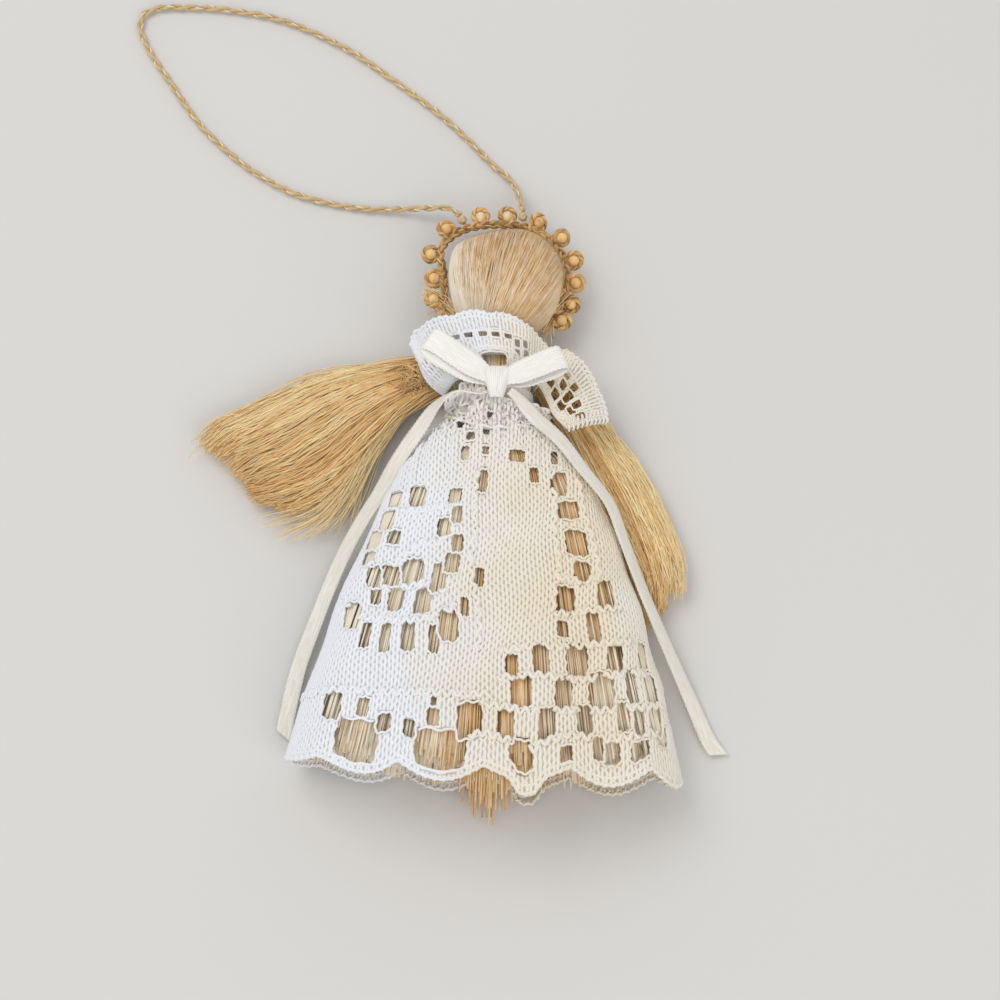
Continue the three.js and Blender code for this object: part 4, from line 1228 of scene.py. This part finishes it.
class DOLL_OT_wings(bpy.types.Operator):
    """Combed straw wings bound at their roots"""
    bl_idname = "doll.wings"
    bl_label = "Wings"

    def execute(self, context):
        for name, (upper, lower, share, bleach, above) in WINGS.items():
            rng = np.random.default_rng(23 + len(name))
            edges = [evenly(bend([(*point, WING_HEIGHT) for point in edge], 8), WING_STEPS)
                     for edge in (upper, lower)]
            threads = wing_fibres(edges, int(counts("wing_strands") * share), bleach, rng)
            threads += wing_hairs(edges, int(HAIRS * share), above, rng)
            threads += wing_tangles(edges, int(TANGLES * share), rng)
            place_threads(f"wing_{name}_strands", threads, sizes("strand_radius"), 4, f"{name}_wing", "straw",
                          wing_straw(), [f"wing_{name}"])
            turn = np.linspace(0, FULL_TURN * TIE_TURNS, 150)
            line = wing_spot(edges, 0.5 + TIE_HALF_WIDTH * np.cos(turn), np.linspace(*TIE_PLACE, 150),
                             TIE_HALF_DEPTH * np.sin(turn))
            place_threads(f"wing_tie_{name}_thread", [thread(line)], TIE_RADIUS, 6, f"{name}_wing", "cotton",
                          tie_thread(), [f"wing_tie_{name}"])
        return {"FINISHED"}


# Lace

# Openings of the lace where the photograph shows them: middle across and down, width and height, in its pixels
SKIRT_OPENINGS = [
    (486, 451, 6, 6), (466, 453, 6, 12), (482, 482, 8, 20), (455, 495, 12, 13), (458, 514, 9, 15),
    (443, 527, 11, 16), (457, 544, 11, 15), (453, 563, 13, 18), (479, 577, 8, 17), (464, 607, 7, 17),
    (395, 500, 10, 14), (387, 520, 11, 18), (418, 496, 15, 20), (374, 540, 13, 18), (394, 537, 12, 12),
    (369, 559, 9, 13), (373, 577, 12, 20), (391, 577, 18, 18), (413, 574, 20, 26), (440, 577, 13, 28),
    (376, 596, 9, 18), (397, 600, 14, 24), (423, 600, 15, 25), (448, 625, 18, 30), (353, 616, 13, 24),
    (365, 635, 8, 24), (385, 637, 9, 28), (408, 637, 12, 28), (434, 640, 9, 26), (332, 705, 15, 26),
    (363, 707, 10, 17), (384, 722, 12, 16), (408, 728, 10, 18), (432, 717, 11, 16), (434, 701, 4, 9),
    (469, 720, 24, 33), (505, 725, 16, 29), (511, 665, 12, 20), (521, 690, 20, 30), (541, 661, 15, 28),
    (563, 692, 15, 30), (547, 724, 16, 29), (577, 661, 20, 30), (601, 689, 24, 34), (585, 722, 14, 29),
    (615, 659, 14, 25), (632, 687, 9, 32), (623, 718, 11, 27), (650, 690, 9, 28), (655, 722, 10, 26),
    (518, 455, 14, 10), (534, 476, 8, 13), (554, 459, 5, 11), (559, 485, 15, 22), (568, 511, 19, 15),
    (577, 544, 22, 24), (583, 572, 15, 18), (565, 600, 17, 25), (605, 595, 14, 27), (593, 628, 12, 31),
    (563, 630, 10, 15), (466, 410, 6, 5), (490, 417, 6, 5), (460, 425, 6, 5), (486, 431, 6, 5),
    (471, 437, 6, 5), (641, 656, 7, 24), (661, 737, 9, 18), (566, 754, 12, 15), (640, 722, 8, 26),
    (668, 706, 7, 26),
]
SCALLOP_OPENINGS = [
    (356, 742, 42, 40), (439, 750, 52, 38), (521, 755, 24, 28), (598, 750, 9, 22), (611, 752, 18, 22),
    (640, 750, 18, 16),
]
# Cords that stand out on the lace, as pixels along each
SKIRT_BARS = [
    [(555, 577), (575, 581), (597, 578)],
    [(555, 613), (590, 611), (621, 609)],
    [(500, 653), (545, 647), (590, 645), (632, 642)],
    [(498, 679), (540, 675), (577, 679), (645, 673)],
    [(486, 705), (550, 711), (609, 709), (662, 705)],
    [(470, 736), (510, 742), (550, 740), (601, 738), (664, 736)],
    [(551, 470), (555, 529), (560, 561), (555, 589), (553, 613)],
    [(577, 478), (587, 525), (597, 561), (600, 580)],
    [(343, 593), (354, 612), (385, 619), (415, 619), (438, 616), (456, 604)],
    [(366, 562), (381, 566), (404, 559), (419, 544), (441, 540), (450, 520)],
    [(366, 589), (400, 587), (426, 583), (447, 592)],
    [(400, 512), (426, 508), (449, 504)],
    [(300, 698), (339, 688), (385, 693), (430, 691), (491, 693)],
    [(478, 470), (474, 520), (470, 560), (476, 600), (478, 650)],
]
COLLAR_OPENINGS = [
    (443, 344, 7, 7), (456, 337, 7, 7), (469, 334, 8, 7), (482, 333, 8, 7), (495, 333, 8, 7),
    (508, 335, 7, 7), (494, 359, 23, 13), (517, 344, 5, 7), (525, 345, 5, 7), (518, 354, 5, 7),
    (526, 354, 5, 7), (550, 382, 9, 7), (555, 394, 10, 9), (562, 385, 8, 8), (567, 397, 8, 11),
    (577, 404, 7, 9), (571, 411, 8, 7), (581, 416, 7, 9), (566, 375, 9, 7), (573, 389, 7, 9),
    (560, 406, 9, 7),
]
# The width in the photograph's pixels of the threads that bind the openings
SKIRT_BOUND, COLLAR_BOUND = 4.0, 2.0
# How square the openings are: 2 is round
SQUARE = 4.5
LACE_LIFT, LACE_SWAY, LACE_WALL = 0.12, 0.15, 0.22
STITCH_STEPS, FEWEST_STEPS = 3, 4
RIM_STEPS, RIM_SWELL, RIM_WAVES = 41, 1.02, (8, 12)
# How far the bars wave, in how many steps, how far they lie above the lace, the share of an opening that stops
# them, and their width
BAR_WAVE, BAR_STEPS, BAR_LIFT, BAR_REACH, BAR_WIDTH = 1.2, 5, 0.4, 0.68, 1.15


def facing(places):
    """The direction in which each corner of a cloth's net of points faces."""
    return unit(np.cross(np.gradient(places, axis=0), np.gradient(places, axis=1)))


def runs(flags, fewest):
    """First and last+1 of each run of so many true flags."""
    edges = np.flatnonzero(np.diff(np.concatenate([[0], flags.astype(int), [0]])))
    return [(first, last) for first, last in zip(edges[::2], edges[1::2]) if last - first >= fewest]


def find_openings(places, inside, seen, bound):
    """Openings of the photograph on a net: their middle column and row, and half their columns and rows.
    bound is the width in the photograph of the threads that bind them."""
    across, down = in_photo(places)
    tall, wide = (np.hypot(np.gradient(across, axis=axis), np.gradient(down, axis=axis)) for axis in (0, 1))
    found = []
    for u, v, width, height in seen:
        off = np.where(inside, np.hypot(across - u, down - v), np.inf)
        j, i = np.unravel_index(np.argmin(off), off.shape)
        half_columns = (width + bound) / 2 / max(1.0, wide[j, i])
        half_rows = (height + bound) / 2 / max(1.0, tall[j, i])
        found.append((i, j, half_columns, half_rows))
    return found


def opened(column, row, openings):
    """True for places on a net that lie in one of its openings."""
    flags = np.zeros(np.broadcast(column, row).shape, bool)
    for i, j, wide, tall in openings:
        flags |= np.abs((column - i) / wide) ** SQUARE + np.abs((row - j) / tall) ** SQUARE < 1
    return flags


def on_net(places, column, row):
    """Points between the corners of a net."""
    i = np.clip(np.floor(column).astype(int), 0, places.shape[1] - 2)
    j = np.clip(np.floor(row).astype(int), 0, places.shape[0] - 2)
    a, b = (column - i)[:, None], (row - j)[:, None]
    upper = places[j, i] * (1 - a) + places[j, i + 1] * a
    lower = places[j + 1, i] * (1 - a) + places[j + 1, i + 1] * a
    return upper * (1 - b) + lower * b


def stitches(places, closed, step, sway, rng):
    """Columns of stitches over the closed corners of a net, each swaying against its neighbours."""
    side = unit(np.gradient(places, axis=1))
    threads = []
    for i in range(step // 2, closed.shape[1], step):
        for first, last in runs(closed[:, i], 2):
            beat = np.sin(FULL_TURN * np.arange(first, last) / STITCH_STEPS + np.pi * (i // step))
            beat *= sway * rng.uniform(0.6, 1.4, last - first)
            line = places[first:last, i] + beat[:, None] * side[first:last, i]
            threads.append(thread(line, rng.uniform(0.82, 1.12, last - first)))
    return threads


def rims(places, openings, width, wave, rng):
    """Wavy threads round the openings of a net, with one thread where two of them meet."""
    threads = []
    turn = np.linspace(0, FULL_TURN, RIM_STEPS)
    across, down = np.cos(turn), np.sin(turn)
    round_off = (np.abs(across) ** SQUARE + np.abs(down) ** SQUARE) ** (-1 / SQUARE)
    for k, (i, j, wide, tall) in enumerate(openings):
        swell = round_off * (RIM_SWELL + wave * np.sin(rng.integers(*RIM_WAVES) * turn + wave_start(rng)))
        column, row = i + wide * across * swell, j + tall * down * swell
        for first, last in runs(~opened(column, row, openings[:k]), FEWEST_STEPS):
            line = on_net(places, column[first:last], row[first:last])
            threads.append(thread(line, width * np.where(np.arange(first, last) % 2, 1.0, 0.8)))
    return threads


def bars(places, inside, seen, openings, rng):
    """Wavy cords along routes of the photograph, which stop at openings."""
    threads = []
    cores = [(i, j, BAR_REACH * wide, BAR_REACH * tall) for i, j, wide, tall in openings]
    for route in seen:
        marks = find_openings(places, inside, [(*point, 1, 1) for point in route], 0.0)
        line = bend([(i, j, 0.0) for i, j, _, _ in marks], 12)
        line = evenly(line, int(lengths(line)[-1]))
        wave = BAR_WAVE * np.sin(FULL_TURN * np.arange(len(line)) / BAR_STEPS + wave_start(rng))
        ahead = unit(np.gradient(line, axis=0))
        column, row = line[:, 0] - wave * ahead[:, 1], line[:, 1] + wave * ahead[:, 0]
        for first, last in runs(~opened(column, row, cores), FEWEST_STEPS):
            line = on_net(places, column[first:last], row[first:last])
            threads.append(thread(line, BAR_WIDTH * rng.uniform(0.85, 1.15, last - first)))
    return threads


def beaded(line, count, width):
    """A thread of beads along an edge."""
    return thread(evenly(line, count), width * np.where(np.arange(count + 1) % 2, 1.0, 0.76))


def whipped(line, count, radius, pitch, width):
    """A thread wound along an edge."""
    return thread(wound(evenly(line, count), radius, pitch), width)


# Dress

CLOTH_HALF_WIDTH = 56.0
# How much lower than its sides the middle of the lace hangs, how much less the back does, and how far its hem
# curls up
LACE_DROP, BACK_SHORT, HEM_CURL = 3.4, 1.8, 2.0
# The scallops of the hem: the middle of one of them across the lace, their width and depth, and that one's tip
SCALLOP_MIDDLE, SCALLOP_WIDTH, SCALLOP_DEPTH = 7.7, 14.8, 3.0
TIP_DEPTH, TIP_WIDTH, TIP_CALM, TIP_CALM_WIDTH = 3.8, 2.3, 0.6, 6.0
# The lace above the gathering: its rows, its height, how much higher its tuft is, and where that stands
HEADING_ROWS, HEADING_HEIGHT, TUFT_HEIGHT, TUFT_MIDDLE, TUFT_WIDTH = 8, 2.4, 3.8, -4.2, 4.0
CRUMPLE, CRUMPLE_ROWS = 0.8, 9
FRONT_PLEAT, BACK_PLEAT, PLEAT_WIDTH, PLEAT_END = 0.45, 0.2, 4.4, 0.16
# How much closer the stitches stand at the waist, and how far the lace wanders down and aside
GATHERED, WANDER_DOWN, WANDER_ASIDE = 0.8, 0.35, 0.3
SKIRT_TURNS = 161
RIM_WIDTH, RIM_WAVE = 0.8, 0.07
# The gathering thread: its turns, how far it dips in front, how often and how deep it dives into the lace
THREAD_TURNS, THREAD_DIP, GATHER_STITCHES, GATHER_DIVE = 1.04, 3.0, 22, 0.5
FRONT_DEPTH, BACK_DEPTH, THREAD_LOOSE = 0.15, 0.9, 2.0
GATHER_PLY_OUT, GATHER_PLY_PITCH, GATHER_PLY_RADIUS = 0.13, 1.6, 0.19


def hem_fall(across):
    """How far the scallops hang below the straight hem."""
    off = across - SCALLOP_MIDDLE
    share = off / SCALLOP_WIDTH
    lobe = np.cos(np.pi * (share - np.round(share)))
    calm = 1 - TIP_CALM * bell(off, 0, TIP_CALM_WIDTH)
    left = np.clip((across + 40) / 25, 0.3, 1)
    return SCALLOP_DEPTH * lobe * calm * left + TIP_DEPTH / (1 + (off / TIP_WIDTH) ** 4)


def skirt_net(front):
    """The corners of the skirt's net, and which of them lie between its seams."""
    pitch = sizes("column_width") / (2 if front else 1)
    rows = 2 * STITCH_STEPS * int(round((sizes("skirt_length") + LACE_DROP) / sizes("stitch_length") / 2))
    columns = 2 * int(math.ceil(CLOTH_HALF_WIDTH / pitch))
    fabric = (np.arange(columns + 1) - columns / 2) * pitch
    turn = np.linspace(np.pi, 0 if front else FULL_TURN, SKIRT_TURNS)
    inset, drop = (0.0, LACE_DROP) if front else (BACK_INSET, LACE_DROP - BACK_SHORT)
    pleats = np.cos(FULL_TURN * fabric / PLEAT_WIDTH + 1.1 * np.sin(0.7 * fabric))
    pleats *= FRONT_PLEAT if front else BACK_PLEAT
    places, inside = [], []
    for j in range(-HEADING_ROWS, rows + 1):
        down, up = max(0, j) / rows, max(0, -j) / HEADING_ROWS
        line = skirt_point(turn, down, inset, 1.0, drop)
        if j < 0:
            rise = HEADING_HEIGHT + TUFT_HEIGHT * bell(line[:, 0], TUFT_MIDDLE, TUFT_WIDTH)
            line = line + up * np.stack([np.cos(turn), rise, np.sin(turn)], -1)
        run = lengths(line)
        run = run - run[SKIRT_TURNS // 2]
        wanted = fabric * (GATHERED + (1 - GATHERED) * down)
        inside.append(np.abs(wanted) < run[-1])
        row = between(wanted, run, line)
        crumple = CRUMPLE * bell(j, 0, CRUMPLE_ROWS) * np.sin(0.8 * j + 1)
        crumple = crumple * np.sin(1.7 * fabric + 2.3 * np.sin(0.9 * j))
        push = np.interp(wanted, run, turn)
        outward = np.stack([np.cos(push), 0 * push, np.sin(push)], -1)
        row += ((crumple + pleats * np.exp(-down / PLEAT_END)) * inside[-1])[:, None] * outward
        if not front:
            row[:, 2] += HEM_CURL * max(0, (down - 0.7) / 0.3) ** 1.5 * np.abs(np.sin(push))
        row[:, 1] -= hem_fall(fabric) * max(0, (down - 0.8) / 0.2) ** 1.5
        row[:, 1] += WANDER_DOWN * np.sin(fabric / 3.1 + 9 * down) * np.sin(np.pi * down)
        row[:, 0] += WANDER_ASIDE * np.sin(fabric / 4.3 + 23 * down) * np.sin(np.pi * down)
        places.append(row)
    return np.array(places), np.array(inside)


def dress_threads(front, places, inside, openings, rng):
    """The yarn of one side of the dress: stitches, rims of the openings, bars and edges."""
    row, column = np.indices(inside.shape)
    closed = inside & ~opened(column, row, openings)
    raised = places + (LACE_LIFT if front else 0.0) * facing(places)
    threads = stitches(raised, closed, 2 if front else 1, LACE_SWAY, rng)
    threads += rims(raised, openings, RIM_WIDTH, RIM_WAVE, rng)
    if front:
        threads += bars(places + BAR_LIFT * facing(places), inside, SKIRT_BARS, openings, rng)
    for edge, count, width in ((-1, 320, 1.1), (-3, 320, 0.9), (0, 160, 0.85)):
        threads.append(beaded(raised[edge][inside[edge]], count, width))
    threads.append(whipped(raised[-1][inside[-1]], 480, 0.3, 1.5, 0.6))
    for end in (0, -1):
        seam = np.array([line[flags][end] for line, flags in zip(places, inside)])
        threads.append(beaded(bend(seam, 2), 130, 0.9))
    return threads


def dress_ground(name, places, inside, openings):
    """The cloth under the stitches, cut open, with one face for every two rows."""
    rows, columns = places.shape[0] - 1, places.shape[1] - 1

    def shape(u, w):
        return places[np.round((1 - w) * rows).astype(int), np.round(u * columns).astype(int)]

    def cut(i, j):
        j = rows - 2 - 2 * j
        outside = ~(inside[j, i] | inside[j, i + 1] | inside[j + 2, i] | inside[j + 2, i + 1])
        return outside | opened(i + 0.5, j + 1, openings)

    return grid_mesh(name, columns, rows // 2, shape, True, cut)


def gathering_line():
    """The gathering thread's way round the waist, in and out of the lace."""
    low, high = own_box("gather_thread")
    half = (high - low) / 2
    turn = np.linspace(0, FULL_TURN * THREAD_TURNS, 260)
    rise = np.maximum(0, np.sin(turn))
    y = (low[1] + high[1]) / 2 + 0.35 * np.sin(3 * turn) - THREAD_DIP * rise ** 2
    dive = GATHER_DIVE * np.sin(GATHER_STITCHES * turn) - np.where(np.sin(turn) < 0, BACK_DEPTH, FRONT_DEPTH)
    across = half[0] - 0.3 + THREAD_LOOSE * rise + dive
    return np.stack([across * np.cos(turn), y, BODY_HEIGHT + (half[2] + dive) * np.sin(turn)], -1)


class DOLL_OT_dress(bpy.types.Operator):
    """Gathered lace skirt with a scalloped hem, and its gathering thread"""
    bl_idname = "doll.dress"
    bl_label = "Lace Dress"

    def execute(self, context):
        bm = bmesh.new()
        for name, front in (("front", True), ("back", False)):
            rng = np.random.default_rng(31 + front)
            places, inside = skirt_net(front)
            if front:
                openings = find_openings(places, inside, SKIRT_OPENINGS + SCALLOP_OPENINGS, SKIRT_BOUND)
            else:
                scallops, last = openings[-len(SCALLOP_OPENINGS):], places.shape[1] - 1
                openings = [(last - i / 2, j, wide / 2, tall) for i, j, wide, tall in scallops]
            threads = dress_threads(front, places, inside, openings, rng)
            stitched = place_threads(f"dress_stitches_{name}", threads, sizes("yarn_radius"),
                                     6 if front else 4, "doll", "lace", lace_yarn())
            mesh = dress_ground(f"lace_ground_{name}", places, inside, openings)
            bm.from_mesh(mesh)
            bpy.data.meshes.remove(mesh)
        bmesh.ops.recalc_face_normals(bm, faces=bm.faces)
        mesh = bpy.data.meshes.new("dress_ground")
        bm.to_mesh(mesh)
        bm.free()
        dress = place("dress_ground", mesh, "doll", "lace", lace_base(), ["lace_dress"])
        thicken(dress, LACE_WALL)

        line = gathering_line()
        threads = [thread(wound(line, GATHER_PLY_OUT, GATHER_PLY_PITCH, start)) for start in (0, math.pi)]
        place_threads("gather_thread_twist", threads, GATHER_PLY_RADIUS, 6, "doll", "cotton", tie_thread(),
                      ["gather_thread"])
        return {"FINISHED"}


# Collar

# The collar's edges from its left end to its loose one, from the middle of the neck's depth
COLLAR_INNER = [
    (-9.8, 6.4, -1), (-9.1, 6.6, 1.9), (-7.6, 7.4, 4.6), (-4.4, 8.2, 6.2), (-0.2, 8.6, 6.7),
    (4.2, 8.4, 6.2), (7.2, 7, 4.6), (9, 4.2, 3.8), (10.2, 1.6, 4), (12.8, -1.2, 4.2),
]
COLLAR_OUTER = [
    (-14.4, 13, -1.2), (-15.8, 15.2, 1), (-14.2, 17, 3.8), (-8.6, 18.6, 6.2), (-2.2, 19, 7.2),
    (4, 17.6, 6.6), (8.8, 13.6, 4.8), (13.2, 13.2, 3), (17.6, 7.4, 1.6), (19.6, 1.4, 1.6),
]
COLLAR_COLUMNS, COLLAR_ROWS, COLLAR_LOBES = 162, 26, 9
COLLAR_LOBE_DEPTH, COLLAR_LOBE_START, COLLAR_SWELL, COLLAR_WAVE = 0.08, 0.6, 0.9, 0.35
# The net at the collar's left end, up to this column and between these rows, is a ladder of holes
LADDER_COLUMNS, LADDER_FIRST, LADDER_LAST, LADDER_STEP = 46, 4, 15, 4
# The largest opening, over the bow, has two more rims
COLLAR_ARCH, ARCH_RIMS, ARCH_WIDTH, ARCH_WAVE = 6, (1.35, 1.75), 1.0, 0.04
COLLAR_YARN_RADIUS, COLLAR_RIM_WIDTH, COLLAR_RIM_WAVE = 0.3, 0.7, 0.03
# Beads along rows of the collar, with their widths
COLLAR_BEADS = {COLLAR_ROWS: 1.2, COLLAR_ROWS - 2: 0.85, 18: 0.9, 0: 1.0}


def collar_net():
    """The corners of the collar's net, and the direction in which each of its columns faces."""
    steps = COLLAR_COLUMNS // COLLAR_LOBES
    inner, outer = (bend(edge, steps) + (0, 0, BODY_HEIGHT) for edge in (COLLAR_INNER, COLLAR_OUTER))
    wide = outer - inner
    up = unit(np.cross(np.gradient(inner, axis=0) + np.gradient(outer, axis=0), wide))
    up = up * np.sign(up[len(up) // 2, 2])
    turn = np.pi * np.arange(COLLAR_COLUMNS + 1) / steps
    places = []
    for w in np.linspace(0, 1, COLLAR_ROWS + 1):
        lobes = COLLAR_LOBE_DEPTH * np.abs(np.sin(turn)) * ramp(w, COLLAR_LOBE_START, 1)
        swell = COLLAR_SWELL * math.sin(math.pi * w) + COLLAR_WAVE * w * np.cos(2 * turn)
        places.append(inner + (w + lobes)[:, None] * wide + swell[:, None] * up)
    return np.array(places), up


def collar_threads(raised, closed, openings, rng):
    """The yarn of the collar: stitches, rims of the openings and edges."""
    threads = stitches(raised, closed, 2, LACE_SWAY / 2, rng)
    threads += rims(raised, openings, COLLAR_RIM_WIDTH, COLLAR_RIM_WAVE, rng)
    for row, width in COLLAR_BEADS.items():
        threads.append(beaded(bend(raised[row], 2), 260, width))
    threads.append(beaded(raised[:, 0], 44, 1.1))
    threads.append(whipped(bend(raised[-1], 2), 480, 0.34, 1.25, 0.72))
    for column, radius in ((-1, 0.5), (-6, 0.42)):
        threads.append(whipped(raised[:, column], 180, radius, 0.85, 0.75))
    i, j, wide, tall = openings[COLLAR_ARCH]
    for grown in ARCH_RIMS:
        threads += rims(raised, [(i, j, grown * wide, grown * tall)], ARCH_WIDTH, ARCH_WAVE, rng)
    return threads


class DOLL_OT_collar(bpy.types.Operator):
    """Lace collar over the front of the neck, one end loose"""
    bl_idname = "doll.collar"
    bl_label = "Lace Collar"

    def execute(self, context):
        rng = np.random.default_rng(41)
        places, up = collar_net()
        row, column = np.indices(places.shape[:2])
        everywhere = np.ones(row.shape, bool)
        openings = find_openings(places, everywhere, COLLAR_OPENINGS, COLLAR_BOUND)
        ladder = (column < LADDER_COLUMNS) & (row >= LADDER_FIRST) & (row <= LADDER_LAST)
        ladder &= (column % LADDER_STEP > 1) & (row % LADDER_STEP > 1)
        closed = ~opened(column, row, openings) & ~ladder
        threads = collar_threads(places + LACE_LIFT * up, closed, openings, rng)
        stitched = place_threads("collar_stitches", threads, COLLAR_YARN_RADIUS, 6, "doll", "lace",
                                 collar_yarn())

        def shape(u, w):
            return places[np.round(w * COLLAR_ROWS).astype(int), np.round(u * COLLAR_COLUMNS).astype(int)]

        def cut(i, j):
            return opened(i + 0.5, j + 0.5, openings) | ~(closed[j, i] | closed[j + 1, i + 1])

        mesh = grid_mesh("collar_ground", COLLAR_COLUMNS, COLLAR_ROWS, shape, False, cut)
        collar = place("collar_ground", mesh, "doll", "lace", lace_base(), ["lace_collar"])
        thicken(collar, LACE_WALL)
        return {"FINISHED"}


# Add-on

OPERATORS = (DOLL_OT_stage, DOLL_OT_hanging_loop, DOLL_OT_ribbon_tails, DOLL_OT_bow, DOLL_OT_head, DOLL_OT_halo,
             DOLL_OT_body, DOLL_OT_wings, DOLL_OT_dress, DOLL_OT_collar)


class DOLL_PT_panel(bpy.types.Panel):
    """Lists the doll's pieces, sizes and colours"""
    bl_idname = "DOLL_PT_panel"
    bl_label = "Straw Angel Doll"
    bl_space_type = "VIEW_3D"
    bl_region_type = "UI"
    bl_category = "Doll"

    def draw(self, context):
        for operator in OPERATORS:
            self.layout.operator(operator.bl_idname)
        for group in (context.scene.doll_sizes, context.scene.doll_colours):
            box = self.layout.box()
            for key in group.__annotations__:
                box.prop(group, key)


CLASSES = (DollSizes, DollColours, *OPERATORS, DOLL_PT_panel)


def register():
    for cls in CLASSES:
        bpy.utils.register_class(cls)
    bpy.types.Scene.doll_sizes = PointerProperty(type=DollSizes)
    bpy.types.Scene.doll_colours = PointerProperty(type=DollColours)


def unregister():
    del bpy.types.Scene.doll_colours
    del bpy.types.Scene.doll_sizes
    for cls in reversed(CLASSES):
        bpy.utils.unregister_class(cls)


def main():
    register()
    bpy.ops.doll.stage()
    bpy.ops.doll.hanging_loop()
    bpy.ops.doll.ribbon_tails()
    bpy.ops.doll.bow()
    bpy.ops.doll.head()
    bpy.ops.doll.halo()
    bpy.ops.doll.body()
    bpy.ops.doll.wings()
    bpy.ops.doll.dress()
    bpy.ops.doll.collar()


if __name__ == "__main__":
    main()
